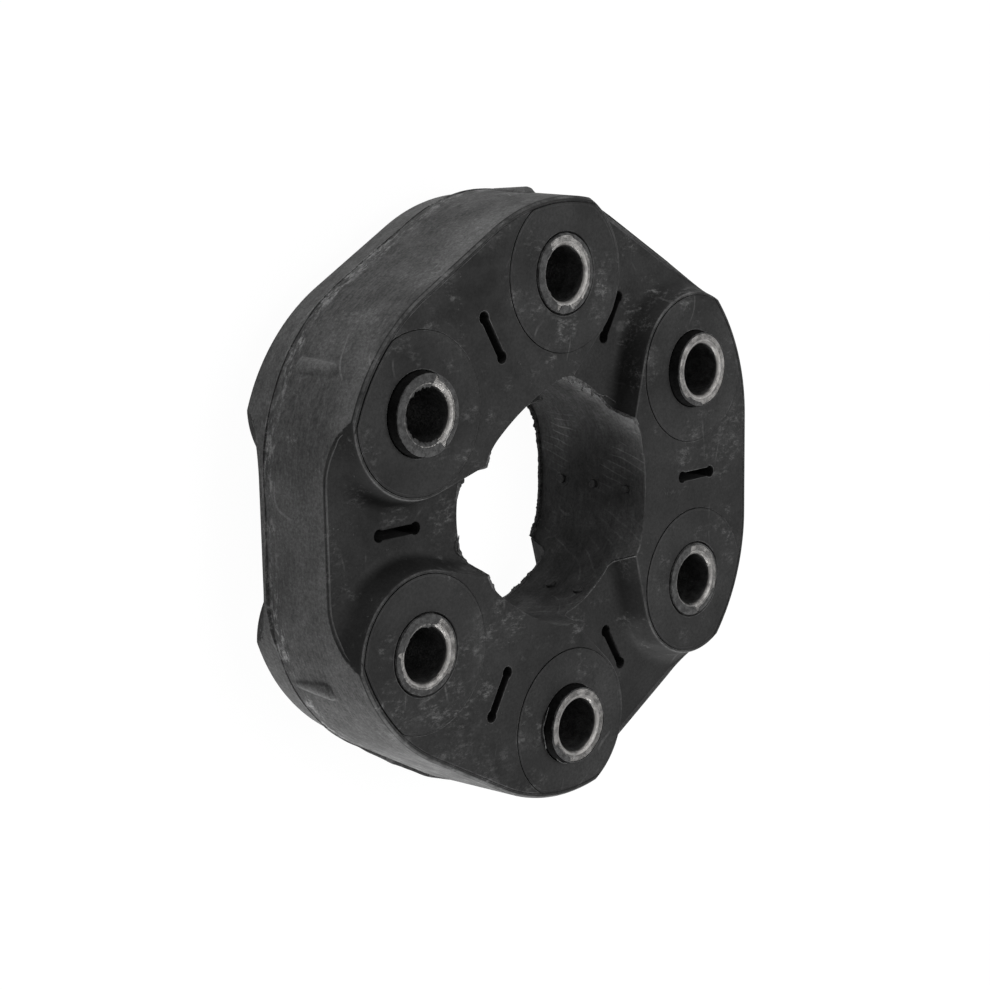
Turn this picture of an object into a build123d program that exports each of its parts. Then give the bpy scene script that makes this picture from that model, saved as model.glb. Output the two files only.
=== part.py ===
"""Driveshaft flex disc: six steel sleeves joined by cord loops and moulded in rubber.

The disc turns about Z. Thick links and thin links alternate around it: a thick link carries a
raised pad on both faces, a thin link is a valley between two pads. The origin is on the axis,
midway between the two faces, and the first thick link is centred on +X. Sizes are in millimetres
and angles in degrees.
"""
from build123d import *
from math import cos, radians, sin, tan
import os

os.makedirs("parts", exist_ok=True)

# Bolt circle: the sleeves in order round the disc, and the face that each one stands out of
sleeve_names = ["b", "a", "f", "e", "d", "c"]
sleeve_faces = [1, -1, 1, -1, 1, -1]
bolt_circle_radius = 50.0

# Sleeves
sleeve_bore_radius = 6.0
sleeve_wall = 2.4
sleeve_long_stand_out = 2.5
sleeve_short_stand_out = 0.3
sleeve_bore_chamfer = 0.8
sleeve_edge_chamfer = 0.3

# Stack of layers from the middle plane outwards: middle loop, web, outer loop, web, collar
middle_loop_height = 13.6
outer_loop_height = 7.2
layer_web = 0.4
collar_thickness = 2.0

# Cord loops and collars
loop_wall = 6.0
loop_edge_radius = 1.6
collar_radius = 16.9
collar_rim_band = 1.3

# Rubber side wall: how far its flats lie outside the line between two neighbouring sleeves
pad_cover = 19.8
valley_cover = 20.4
parting_pad_cover = 21.1
parting_valley_cover = 20.7
wall_corner_radius = 44.0
parting_height = -8.0
outer_rim_radius = 1.0

# Valleys between the pads
valley_depth = 6.7
valley_slope = 18.0
valley_side_angle = 15.45
valley_floor_radius = 2.5
pad_lobe_margin = 0.7

# Central opening
bore_radius = 27.4
bore_pad_bulge = 1.5
bore_pad_arc_radius = 60.0
bore_corner_radius = 12.0
bore_rim_radius = 0.8

# Slots between the two runs of each loop, closed by a thin web at the parting plane
slot_length = 12.7
slot_width = 1.8
slot_end_diameter = 2.4
slot_circle_shift = 1.0
slot_web = 1.2

# Direction marks on the side wall, one beside each sleeve, pointing the way it stands out and
# shifted that way from the height that they share
mark_length = 12.4
mark_wide_radius = 2.2
mark_narrow_radius = 1.2
mark_stand_out = 1.0
mark_height = 0.6
mark_shift = 1.5
mark_turn = -1.3

# Derived sizes
sleeve_count = len(sleeve_names)
pad_count = sleeve_count // 2
link_angle = 360 / sleeve_count
link_radius = bolt_circle_radius * cos(radians(link_angle / 2))
link_length = 2 * bolt_circle_radius * sin(radians(link_angle / 2))
sleeve_radius = sleeve_bore_radius + sleeve_wall
loop_radius = sleeve_radius + loop_wall
outer_loop_start = middle_loop_height / 2 + layer_web
collar_start = outer_loop_start + outer_loop_height + layer_web
pad_height = collar_start + collar_thickness
pad_lobe_radius = collar_radius + pad_lobe_margin
sleeve_length = 2 * pad_height + sleeve_long_stand_out + sleeve_short_stand_out
sleeve_shift = (sleeve_long_stand_out - sleeve_short_stand_out) / 2


def polar_point(radius, angle):
    """Point at a distance from the axis, in a direction."""
    return (radius * cos(radians(angle)), radius * sin(radians(angle)))


def outline_sketch(beyond_pad, beyond_valley, corner_radius):
    """Disc outline: a flat side at every pad and valley, with wide round corners at the sleeves."""
    with BuildSketch() as outline:
        RegularPolygon(link_radius + beyond_valley, pad_count, major_radius=False)
        RegularPolygon(
            link_radius + beyond_pad,
            pad_count,
            major_radius=False,
            rotation=link_angle,
            mode=Mode.INTERSECT,
        )
        fillet(outline.vertices(), corner_radius)
    return outline.sketch


def face_outline(inset=0.0):
    """Outline of the rubber at the pad planes, or the same line a little further in."""
    return outline_sketch(pad_cover - inset, valley_cover - inset, wall_corner_radius - inset)


def parting_outline():
    """Outline of the rubber at the parting plane, where the two halves of the mould meet."""
    return outline_sketch(parting_pad_cover, parting_valley_cover, wall_corner_radius)


def bore_outline():
    """Central opening: round at the valleys, bulging in a little at the pads."""
    with BuildSketch() as bore:
        Circle(bore_radius)
        for centre in PolarLocations(bore_radius - bore_pad_bulge - bore_pad_arc_radius, pad_count):
            with Locations(centre):
                Circle(bore_pad_arc_radius, mode=Mode.INTERSECT)
        fillet(bore.vertices(), bore_corner_radius)
    return bore.sketch


def valley_outline():
    """Mouth of one valley, centred on +X: it runs out from the bore and round the two sleeves."""
    sleeve = Vector(*polar_point(bolt_circle_radius, link_angle / 2))
    # Each straight side touches the lobe round its sleeve and is carried on into the bore
    touch = sleeve + Vector(*polar_point(pad_lobe_radius, -90 - valley_side_angle))
    start_x = bore_radius / 2
    start = Vector(start_x, touch.Y + (touch.X - start_x) * tan(radians(valley_side_angle)))
    # The cut is carried on outwards from the lobe, so that it clears the side wall
    lobe_side = sleeve + Vector(*polar_point(pad_lobe_radius, -link_angle / 2))
    lobe_end = sleeve + Vector(*polar_point(pad_lobe_radius, link_angle / 2))
    mouth = lobe_end + Vector(*polar_point(pad_lobe_radius, link_angle / 2))
    with BuildSketch() as valley:
        with BuildLine():
            Polyline((start.X, 0), start, touch)
            ThreePointArc(touch, lobe_side, lobe_end)
            Polyline(lobe_end, mouth, (mouth.X, 0))
            mirror(about=Plane.XZ)
        make_face()
    return valley.sketch


def valley_core():
    """Solid that fills one front valley, centred on +X: sloped sides and a rounded foot."""
    with BuildPart() as core:
        with BuildSketch(Plane.XY.offset(pad_height)):
            add(valley_outline())
        extrude(amount=-valley_depth, taper=valley_slope)
        fillet(core.edges().group_by(Axis.Z)[0], valley_floor_radius)
    return core.part


def slot_outline():
    """Dog-bone slot along +X: a narrow slit with a round hole at each end."""
    with BuildSketch() as slot:
        with Locations((link_radius + slot_circle_shift, 0)):
            Rectangle(slot_length - slot_end_diameter, slot_width)
            with GridLocations(slot_length - slot_end_diameter, 0, 2, 1):
                Circle(slot_end_diameter / 2)
    return slot.sketch


def cord_loop(angle, start, height):
    """Loop of cord wound round the two sleeves of one link, with rounded outer edges."""
    layer = Plane.XY.offset(start).rotated((0, 0, angle))
    with BuildPart() as loop:
        with BuildSketch(layer):
            with Locations((link_radius, 0)):
                SlotCenterToCenter(link_length, 2 * loop_radius, rotation=90)
        extrude(amount=height)
        rims = loop.edges().group_by(Axis.Z)
        fillet(rims[0] + rims[-1], loop_edge_radius)
        with BuildSketch(layer):
            with Locations((link_radius, 0)):
                SlotCenterToCenter(link_length, 2 * sleeve_radius, rotation=90)
        extrude(amount=height, mode=Mode.SUBTRACT)
    return loop.part


def guide_collar(angle, start):
    """Flat collar round one sleeve that guides the cord, trimmed where the rubber closes over its rim."""
    with BuildPart() as collar:
        with BuildSketch(Plane.XY.offset(start)):
            with Locations(polar_point(bolt_circle_radius, angle)):
                Circle(collar_radius)
            add(face_outline(collar_rim_band), mode=Mode.INTERSECT)
            with Locations(polar_point(bolt_circle_radius, angle)):
                Circle(sleeve_radius, mode=Mode.SUBTRACT)
        extrude(amount=collar_thickness)
    return collar.part


def wall_reach(outline, angle):
    """Distance from the axis to an outline of the side wall, in a direction."""
    ray = Edge.make_line((0, 0), polar_point(2 * bolt_circle_radius, angle))
    return ray.intersect(outline.face())[0].length


def direction_mark(angle, face):
    """Tapered mark on the side wall: its narrow end points to the face that the sleeve stands out of."""
    axis_radius = wall_reach(parting_outline(), angle) + mark_stand_out - mark_wide_radius
    height = mark_height + face * mark_shift
    base = Plane(origin=(*polar_point(axis_radius, angle), height), z_dir=(0, 0, face))
    with BuildPart(base) as mark:
        Cone(mark_wide_radius, mark_narrow_radius, mark_length)
    return mark.part


# Steel sleeves
for index, name in enumerate(sleeve_names):
    angle = link_angle * (index + 0.5)
    with BuildPart() as sleeve:
        with Locations((*polar_point(bolt_circle_radius, angle), sleeve_faces[index] * sleeve_shift)):
            Cylinder(sleeve_radius, sleeve_length)
        chamfer(sleeve.edges().filter_by(GeomType.CIRCLE), sleeve_edge_chamfer)
        with Locations((*polar_point(bolt_circle_radius, angle), 0)):
            Cylinder(sleeve_bore_radius, 2 * sleeve_length, mode=Mode.SUBTRACT)
        bore_rims = sleeve.edges().filter_by(GeomType.CIRCLE).filter_by(
            lambda rim: abs(rim.radius - sleeve_bore_radius) < sleeve_edge_chamfer / 2
        )
        chamfer(bore_rims, sleeve_bore_chamfer)
    sleeve.part.label = f"sleeve_{name}"
    export_step(sleeve.part, f"parts/sleeve_{name}.step")

# Guide collars, one in each face round every sleeve
inserts = []
for index, name in enumerate(sleeve_names):
    for side, start in (("front", collar_start), ("rear", -pad_height)):
        collar = guide_collar(link_angle * (index + 0.5), start)
        collar.label = f"collar_{side}_{name}"
        export_step(collar, f"parts/collar_{side}_{name}.step")
        inserts.append(collar)

# Cord loops: a front and a rear one in each thick link, one in the middle of each thin link
for index, name in enumerate(sleeve_names):
    link = f"{sleeve_names[index - 1]}{name}"
    if index % 2 == 0:
        layers = {"front": outer_loop_start, "rear": -outer_loop_start - outer_loop_height}
        height = outer_loop_height
    else:
        layers = {"middle": -middle_loop_height / 2}
        height = middle_loop_height
    for side, start in layers.items():
        loop = cord_loop(link_angle * index, start, height)
        loop.label = f"cord_loop_{side}_{link}"
        export_step(loop, f"parts/cord_loop_{side}_{link}.step")
        inserts.append(loop)

# Rubber body
front_core = valley_core()
rear_core = mirror(front_core, about=Plane.XY)
with BuildPart() as rubber_body:
    for face_height in (pad_height, -pad_height):
        with BuildSketch(Plane.XY.offset(face_height)):
            add(face_outline())
        with BuildSketch(Plane.XY.offset(parting_height)):
            add(parting_outline())
        loft(ruled=True)
    fillet(rubber_body.edges().group_by(Axis.Z)[0], outer_rim_radius)
    fillet(rubber_body.edges().group_by(Axis.Z)[-1], outer_rim_radius)
    with BuildSketch():
        add(bore_outline())
    extrude(amount=pad_height, both=True, mode=Mode.SUBTRACT)
    for face_height in (pad_height, -pad_height):
        face_edges = rubber_body.edges().filter_by_position(Axis.Z, face_height, face_height)
        fillet(face_edges.filter_by(lambda edge: edge.center().length < link_radius), bore_rim_radius)
    for index in range(pad_count):
        turn = Rotation(0, 0, link_angle * (2 * index + 1))
        add(turn * front_core, mode=Mode.SUBTRACT)
        add(turn * rear_core, mode=Mode.SUBTRACT)
    for index, face in enumerate(sleeve_faces):
        add(direction_mark(link_angle * (index + 0.5) + mark_turn, face))
    with BuildSketch():
        with PolarLocations(bolt_circle_radius, sleeve_count, start_angle=link_angle / 2):
            Circle(sleeve_radius)
    extrude(amount=pad_height, both=True, mode=Mode.SUBTRACT)
    for side in (1, -1):
        with BuildSketch(Plane.XY.offset(parting_height + side * slot_web / 2)):
            for index in range(sleeve_count):
                add(Rotation(0, 0, link_angle * index) * slot_outline())
        extrude(amount=side * (pad_height - side * parting_height), mode=Mode.SUBTRACT)
    for insert in inserts:
        add(insert, mode=Mode.SUBTRACT)
rubber_body.part.label = "rubber_body"
export_step(rubber_body.part, "parts/rubber_body.step")
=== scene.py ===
"""Scene of the driveshaft flex disc: its moulded rubber, guide collars, steel sleeves and mould flash.

Lengths are written in millimetres and angles in degrees, in the disc's own frame: the axis is Z,
the first pad is centred on +X and the middle plane lies at zero.
"""

import logging
import math
from dataclasses import dataclass, field
from enum import Enum
from functools import cached_property
from typing import Callable, Sequence

import bmesh
import bpy
from mathutils import Matrix, Vector, noise


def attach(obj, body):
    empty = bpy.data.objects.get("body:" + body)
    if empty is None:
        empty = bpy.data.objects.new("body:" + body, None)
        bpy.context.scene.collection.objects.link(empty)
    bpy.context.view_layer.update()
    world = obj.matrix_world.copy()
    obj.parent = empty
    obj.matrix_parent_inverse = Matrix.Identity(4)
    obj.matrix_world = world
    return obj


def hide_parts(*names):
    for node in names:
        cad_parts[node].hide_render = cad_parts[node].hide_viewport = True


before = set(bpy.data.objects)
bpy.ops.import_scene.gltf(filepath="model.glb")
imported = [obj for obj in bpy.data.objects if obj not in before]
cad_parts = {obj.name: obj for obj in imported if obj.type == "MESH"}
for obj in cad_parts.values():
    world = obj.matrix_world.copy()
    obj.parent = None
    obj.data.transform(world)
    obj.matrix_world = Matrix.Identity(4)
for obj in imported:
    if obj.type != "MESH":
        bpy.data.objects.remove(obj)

log = logging.getLogger("flex_disc")

MM = 0.001
BODY = "root"
SEAM = 0.002
TINY = 0.01

STILL = (0.0, 0.0, 0.0)

Piece = bpy.types.Object
Tree = bpy.types.NodeTree
Socket = bpy.types.NodeSocket
Sockets = bpy.types.bpy_prop_collection
Triple = tuple[float, float, float]
Colour = tuple[float, float, float, float]
Pair = tuple[float, float]
Profile = Sequence[Pair]
Loop = list[Vector]


class Side(Enum):
    """A face of the disc."""

    FRONT = 1
    REAR = -1

    @property
    def word(self) -> str:
        """The face's name in the names of pieces."""
        return self.name.lower()


class Slot(Enum):
    """Material slots of the record."""

    RUBBER = "rubber"
    COLLAR = "collar"
    STEEL = "sleeve_steel"


class MeshPart(Enum):
    """Parts of a mesh that can be selected."""

    FACE = "FACE"
    EDGE = "EDGE"


def polar(radius: float, angle: float, height: float = 0.0) -> Vector:
    """Point at a distance from the axis, in a direction in degrees, at a height."""
    turn = math.radians(angle)
    return Vector((radius * math.cos(turn), radius * math.sin(turn), height))


def direction(point: Vector) -> float:
    """Direction of a point from the axis, in degrees."""
    return math.degrees(math.atan2(point.y, point.x))


def blend(first: float, second: float, share: float) -> float:
    """Value on the way from the first to the second."""
    return first + (second - first) * share


def full_turn(count: int) -> list[float]:
    """Directions in degrees that divide a full turn evenly."""
    return [360 * i / count for i in range(count)]


def tapered(start: float, end: float, steps: int, fade: float) -> list[Pair]:
    """Directions along a run, each with a share that fades to 0 at both ends of it."""
    angles = [start + (end - start) * i / steps for i in range(steps + 1)]
    return [(angle, smooth_step(0, fade, min(i, steps - i) / steps)) for i, angle in enumerate(angles)]


def smooth_step(low: float, high: float, value: float) -> float:
    """Share from 0, where the value is low, to 1, where it is high, with level ends."""
    share = min(1.0, max(0.0, (value - low) / (high - low)))
    return share * share * (3 - 2 * share)


def smooth_min(first: float, second: float, blend: float) -> float:
    """Lesser of two values, rounded as far as the blend where they meet."""
    share = max(blend - abs(first - second), 0.0) / blend
    return min(first, second) - share * share * blend / 4


def ripple(angle: float, wave: float, seed: float) -> float:
    """Seamless noise round a circle, between about -1 and 1; a larger wave is finer."""
    return noise.noise(polar(20.0 * wave, angle, seed * 7.3))


def torn(angle: float, wave: float, seed: float) -> float:
    """Ragged noise round a circle, between about 0 and 1, with bites of several sizes.

    Args:
        angle: Direction in degrees.
        wave: Detail of the largest bites, larger is finer.
        seed: Picks one of many patterns.

    Returns:
        The noise at that direction.
    """
    rough = ripple(angle, wave, seed)
    rough = rough + 0.6 * ripple(angle, wave * 2.7, seed + 3) + 0.4 * ripple(angle, wave * 6.1, seed + 9)
    return min(1.0, max(0.0, 0.5 + 0.6 * rough))


def section_at(profile: Profile, turn: float, centre: Vector, side: Side = Side.FRONT) -> Loop:
    """Stand a profile upright on a ray from an axis.

    Args:
        profile: Pairs of distance from the axis and height.
        turn: Direction of the ray in degrees.
        centre: Where the axis meets the middle plane.
        side: The face that the profile belongs to.

    Returns:
        The points.
    """
    return [centre + polar(radius, turn, height * side.value) for radius, height in profile]


@dataclass(frozen=True)
class Outline:
    """Closed line round the disc: a flat at every pad and valley, with round corners between them."""

    pad_reach: float
    valley_reach: float
    corner_radius: float

    @cached_property
    def corner(self) -> tuple[Vector, float, float]:
        """Arc between the pad at 0 degrees and the valley at 60.

        Returns:
            The arc's centre, and its first and last direction.
        """
        side = polar(1.0, 60)
        x = self.pad_reach - self.corner_radius
        centre = Vector((x, (self.valley_reach - self.corner_radius - x * side.x) / side.y, 0))
        first = Vector((self.pad_reach, centre.y, 0))
        return centre, direction(first), direction(centre + side * self.corner_radius)

    def reach(self, angle: float) -> float:
        """Distance from the axis to the line.

        Args:
            angle: Direction in degrees.

        Returns:
            The distance.
        """
        fold = angle % 120
        fold = min(fold, 120 - fold)
        centre, first, last = self.corner
        if fold <= first:
            return self.pad_reach / math.cos(math.radians(fold))
        if fold <= last:
            along = centre.dot(polar(1.0, fold))
            return along + math.sqrt(along * along - centre.length_squared + self.corner_radius**2)
        return self.valley_reach / math.cos(math.radians(60 - fold))


@dataclass(frozen=True)
class DiscForm:
    """Sizes and surfaces that the pieces of the disc share."""

    bolt_circle_radius: float = 50.0
    sleeve_names: str = "bafedc"
    pad_height: float = 16.8
    parting_height: float = -8.0
    valley_depth: float = 6.7
    valley_slope: float = 18.0
    valley_side_angle: float = 15.45
    valley_foot_radius: float = 2.5
    wall_foot_radius: float = 6.0
    foot_start: float = 55.0
    foot_end: float = 62.5
    lobe_radius: float = 17.6
    lobe_step: float = 3.0
    edge_radius: float = 0.5
    bore_radius: float = 27.4
    bore_bulge: float = 1.5
    bore_arc_radius: float = 60.0
    bore_blend: float = 0.5
    sleeve_radius: float = 8.4
    sleeve_bore_radius: float = 6.0
    long_stand_out: float = 2.5
    short_stand_out: float = 0.3
    collar_radius: float = 16.9
    collar_floor: float = 14.8
    rim_band: float = 1.3
    face: Outline = Outline(63.101, 63.701, 44.0)
    parting: Outline = Outline(64.401, 64.001, 44.0)

    @property
    def valley_height(self) -> float:
        """Height of the valley floors over the middle plane."""
        return self.pad_height - self.valley_depth

    def sleeve_angle(self, index: int) -> float:
        """Direction of a sleeve, by its place in the order round the disc."""
        return 60 * index + 30

    def sleeve_centre(self, index: int) -> Vector:
        """Middle of a sleeve on the middle plane, by its place in the order."""
        return polar(self.bolt_circle_radius, self.sleeve_angle(index))

    def sleeve_side(self, index: int) -> Side:
        """Face that a sleeve's long end stands out of, by its place in the order."""
        return Side.FRONT if index % 2 == 0 else Side.REAR

    def sleeve_end(self, index: int, side: Side) -> float:
        """Distance of a sleeve's end from the middle plane, on one face of the disc."""
        long_end = self.sleeve_side(index) is side
        return self.pad_height + (self.long_stand_out if long_end else self.short_stand_out)

    def wall_reach(self, angle: float, height: float) -> float:
        """Distance from the axis to the drafted side wall.

        Args:
            angle: Direction in degrees.
            height: Place along the axis.

        Returns:
            The distance.
        """
        end = self.pad_height if height >= self.parting_height else -self.pad_height
        share = (height - self.parting_height) / (end - self.parting_height)
        return (1 - share) * self.parting.reach(angle) + share * self.face.reach(angle)

    def bore_reach(self, angle: float) -> float:
        """Distance from the axis to the wall of the central opening.

        Args:
            angle: Direction in degrees.

        Returns:
            The distance.
        """
        fold = angle % 120
        ray = polar(1.0, 120 - fold if fold > 60 else fold)
        pad_x = self.bore_radius - self.bore_bulge - self.bore_arc_radius
        arc = pad_x * ray.x + math.sqrt(self.bore_arc_radius**2 - (pad_x * ray.y) ** 2)
        return smooth_min(self.bore_radius, arc, self.bore_blend)

    def valley_mouth(self) -> Loop:
        """Mouth of the valley centred on +X, at the pad plane.

        Returns:
            The points of a loop that turns to the right.
        """
        sleeve = polar(self.bolt_circle_radius, 30)
        first_turn = -90 - self.valley_side_angle
        span = 30 - first_turn
        count = round(span / self.lobe_step)
        arc = [sleeve + polar(self.lobe_radius, first_turn + span * i / count) for i in range(count + 1)]
        slope = math.tan(math.radians(self.valley_side_angle))
        start_x = self.bore_radius / 2
        start = Vector((start_x, arc[0].y + (arc[0].x - start_x) * slope, 0))
        half = [start] + arc + [arc[-1] + polar(self.lobe_radius, 30)]
        return half + [Vector((p.x, -p.y, 0)) for p in reversed(half)]

    def foot_share(self, point: Vector) -> float:
        """Share of the wide round at a valley's foot, at a point in plan: it grows towards the side wall."""
        return smooth_step(self.foot_start, self.foot_end, math.hypot(point.x, point.y))

    def depth_in_valley(self, point: Vector) -> float:
        """How far a point in plan lies inside the nearest valley's mouth.

        Args:
            point: The point.

        Returns:
            The distance to the mouth's edge, negative on a pad.
        """
        angle = direction(point) % 120 - 60
        flat = polar(Vector((point.x, point.y)).length, abs(angle))
        sleeve = polar(self.bolt_circle_radius, 30)
        normal = polar(1.0, -90 - self.valley_side_angle)
        touch = sleeve + normal * self.lobe_radius
        if (flat - touch).dot(Vector((-normal.y, normal.x, 0))) < 0:
            return (flat - touch).dot(normal)
        return (flat - sleeve).length - self.lobe_radius

    def face_height(self, point: Vector) -> float:
        """Height of the front face at a point in plan: a pad, a valley floor or the slope between them.

        Args:
            point: The point.

        Returns:
            The height over the middle plane.
        """
        radius = blend(self.valley_foot_radius, self.wall_foot_radius, self.foot_share(point))
        lean = math.radians(self.valley_slope)
        inset = max(0.0, self.depth_in_valley(point))
        middle = (radius + (self.valley_depth - radius) * math.sin(lean)) / math.cos(lean)
        if inset >= middle:
            return self.valley_height
        if inset > middle - radius * math.cos(lean):
            return self.valley_height + radius - math.sqrt(radius**2 - (middle - inset) ** 2)
        return self.pad_height - inset / math.tan(lean)


def pick(*pieces: Piece) -> None:
    """Make pieces the only ones selected, and the first of them active.

    Args:
        pieces: The pieces, or none.
    """
    bpy.ops.object.select_all(action="DESELECT")
    for piece in pieces:
        piece.select_set(True)
    if pieces:
        bpy.context.view_layer.objects.active = pieces[0]


def select(piece: Piece, kind: MeshPart, test: Callable[[object], bool]) -> None:
    """Select the faces or the edges of a piece in edit mode that pass a test, and no others.

    Args:
        piece: The piece.
        kind: What is selected.
        test: Tells whether a face or an edge is selected.
    """
    bpy.ops.mesh.select_mode(type=kind.value)
    bpy.ops.mesh.select_all(action="DESELECT")
    mesh = bmesh.from_edit_mesh(piece.data)
    for part in mesh.faces if kind is MeshPart.FACE else mesh.edges:
        part.select_set(test(part))
    bmesh.update_edit_mesh(piece.data)


def wrapped_grid(name: str, columns: int, rows: int, place: Callable[[int, int], Vector]) -> Piece:
    """Grid laid over a surface, whose seams are merged and whose open ends are filled.

    Args:
        name: The new piece's name.
        columns: Faces along the grid's first direction.
        rows: Faces along its second direction.
        place: Gives the point in millimetres for a column and a row.

    Returns:
        The closed piece, with its faces turned outwards.
    """
    pick()
    bpy.ops.mesh.primitive_grid_add(x_subdivisions=columns, y_subdivisions=rows, size=2)
    piece = bpy.context.object
    piece.name = piece.data.name = name
    for vertex in piece.data.vertices:
        column = round((vertex.co.x + 1) / 2 * columns)
        row = round((vertex.co.y + 1) / 2 * rows)
        vertex.co = place(column, row) * MM
    pick(piece)
    bpy.ops.object.mode_set(mode="EDIT")
    for operator, options in (
        (bpy.ops.mesh.remove_doubles, {"threshold": SEAM * MM}),
        (bpy.ops.mesh.fill_holes, {"sides": 0}),
        (bpy.ops.mesh.normals_make_consistent, {"inside": False}),
    ):
        bpy.ops.mesh.select_all(action="SELECT")
        operator(**options)
    bpy.ops.object.mode_set(mode="OBJECT")
    return piece


def lofted(name: str, rings: Sequence[Loop]) -> Piece:
    """Closed solid over a stack of rings with the same number of points.

    Args:
        name: The new piece's name.
        rings: The rings, from one end to the other.

    Returns:
        The solid.
    """
    count = len(rings[0])
    return wrapped_grid(name, count, len(rings) - 1, lambda column, row: rings[row][column % count])


def swept(name: str, sections: Sequence[Loop], sharp_angle: float, ring: bool) -> Piece:
    """Smooth solid over sections that each are a closed loop.

    Args:
        name: The new piece's name.
        sections: The sections, one after another.
        sharp_angle: Edges sharper than this stay sharp, in degrees.
        ring: Whether the last section joins the first. If not, both ends are filled.

    Returns:
        The solid.
    """
    count, sides = len(sections), len(sections[0])
    columns = count if ring else count - 1
    piece = wrapped_grid(name, columns, sides, lambda column, row: sections[column % count][row % sides])
    smooth(piece, sharp_angle)
    return piece


def offset_loop(loop: Loop, distance: float, height: float) -> Loop:
    """Loop moved to its right-hand side, at a height.

    Args:
        loop: The loop's points in plan.
        distance: How far it moves.
        height: The new loop's height.

    Returns:
        The moved loop.
    """
    moved = []
    for index, point in enumerate(loop):
        before = (point - loop[index - 1]).normalized()
        after = (loop[(index + 1) % len(loop)] - point).normalized()
        first = Vector((before.y, -before.x, 0))
        second = Vector((after.y, -after.x, 0))
        spot = point + (first + second) / (1 + first.dot(second)) * distance
        moved.append(Vector((spot.x, spot.y, height)))
    return moved


def turned(loops: Sequence[Loop], angle: float, side: Side) -> list[Loop]:
    """Copies of loops turned about the axis by an angle, and mirrored where they belong to the rear face."""
    spin = Matrix.Rotation(math.radians(angle), 3, "Z")
    return [[spin @ Vector((p.x, p.y, p.z * side.value)) for p in loop] for loop in loops]


def join(pieces: Sequence[Piece]) -> Piece:
    """Join pieces into the first of them.

    Args:
        pieces: The pieces.

    Returns:
        The joined piece.
    """
    pick(*pieces)
    bpy.ops.object.join()
    return pieces[0]


def cut(piece: Piece, cutter: Piece) -> None:
    """Cut a cutter out of a solid, and remove the cutter.

    Args:
        piece: The solid that is cut.
        cutter: The solid that is taken away.
    """
    modifier = piece.modifiers.new("cut", "BOOLEAN")
    modifier.operation = "DIFFERENCE"
    modifier.solver = "EXACT"
    modifier.object = cutter
    pick(piece)
    bpy.ops.object.modifier_apply(modifier=modifier.name)
    bpy.data.objects.remove(cutter)


def smooth(piece: Piece, sharp_angle: float) -> None:
    """Shade a piece smooth across its shallow edges, with flat faces kept flat.

    Args:
        piece: The piece.
        sharp_angle: Edges sharper than this stay sharp, in degrees.
    """
    pick(piece)
    bpy.ops.object.shade_smooth_by_angle(angle=math.radians(sharp_angle), keep_sharp_edges=False)
    modifier = piece.modifiers.new("flat faces", "WEIGHTED_NORMAL")
    modifier.keep_sharp = True
    modifier.weight = 80
    bpy.ops.object.modifier_apply(modifier=modifier.name)


def dress(piece: Piece, material: bpy.types.Material) -> None:
    """Give a piece one material and no other."""
    piece.data.materials.clear()
    piece.data.materials.append(material)


def add_to_disc(piece: Piece, slot: Slot, material: bpy.types.Material, *nodes: str) -> None:
    """Dress a finished piece and make it part of the disc.

    Args:
        piece: The piece.
        slot: The material slot that it belongs to; it is not used.
        material: Its finish.
        nodes: The CAD nodes that it stands for.
    """
    dress(piece, material)
    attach(piece, BODY)
    if nodes:
        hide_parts(*nodes)
    triangles = sum(len(face.vertices) - 2 for face in piece.data.polygons)
    log.info("%s: %d triangles", piece.name, triangles)


def rounded_edge(radius: float, slope: float, steps: int = 4) -> list[Pair]:
    """Round between a level face and a wall that drops from it.

    Args:
        radius: Radius of the round.
        slope: How far the wall leans from upright, in degrees.
        steps: Pieces that the round is made of.

    Returns:
        Pairs of inset and depth, measured from the sharp corner, from the level face downwards.
    """
    turn = 90 - slope
    reach = radius * math.tan(math.radians(turn / 2))
    angles = [math.radians(turn * step / steps) for step in range(steps + 1)]
    return [(-reach + radius * math.sin(angle), radius * (1 - math.cos(angle))) for angle in angles]


def foot(radius: float, slope: float, depth: float, steps: int = 8) -> list[Pair]:
    """Hollow round between a leaning wall and the level floor at its foot.

    Args:
        radius: Radius of the round.
        slope: How far the wall leans from upright, in degrees.
        depth: Depth of the floor.
        steps: Pieces that the round is made of.

    Returns:
        Pairs of inset and depth, from the wall to the floor.
    """
    turn = 90 - slope
    end = depth * math.tan(math.radians(slope)) + radius * math.tan(math.radians(turn / 2))
    angles = [math.radians(turn * step / steps) for step in range(steps, -1, -1)]
    return [(end - radius * math.sin(angle), depth - radius * (1 - math.cos(angle))) for angle in angles]


def soft_mouth(floor: float, mouth: float, lip: float) -> list[Pair]:
    """Cutter's profile for a pocket whose mouth is softened.

    Args:
        floor: Height of the pocket's floor.
        mouth: Height of the face that it opens in.
        lip: Width of the softened edge.

    Returns:
        Pairs of flare and height, from the floor to above the mouth.
    """
    profile = [(0.0, floor), (0.0, mouth - lip), (lip * 0.3, mouth - lip * 0.3)]
    return profile + [(lip, mouth - TINY), (lip, mouth + 1.0)]


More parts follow.
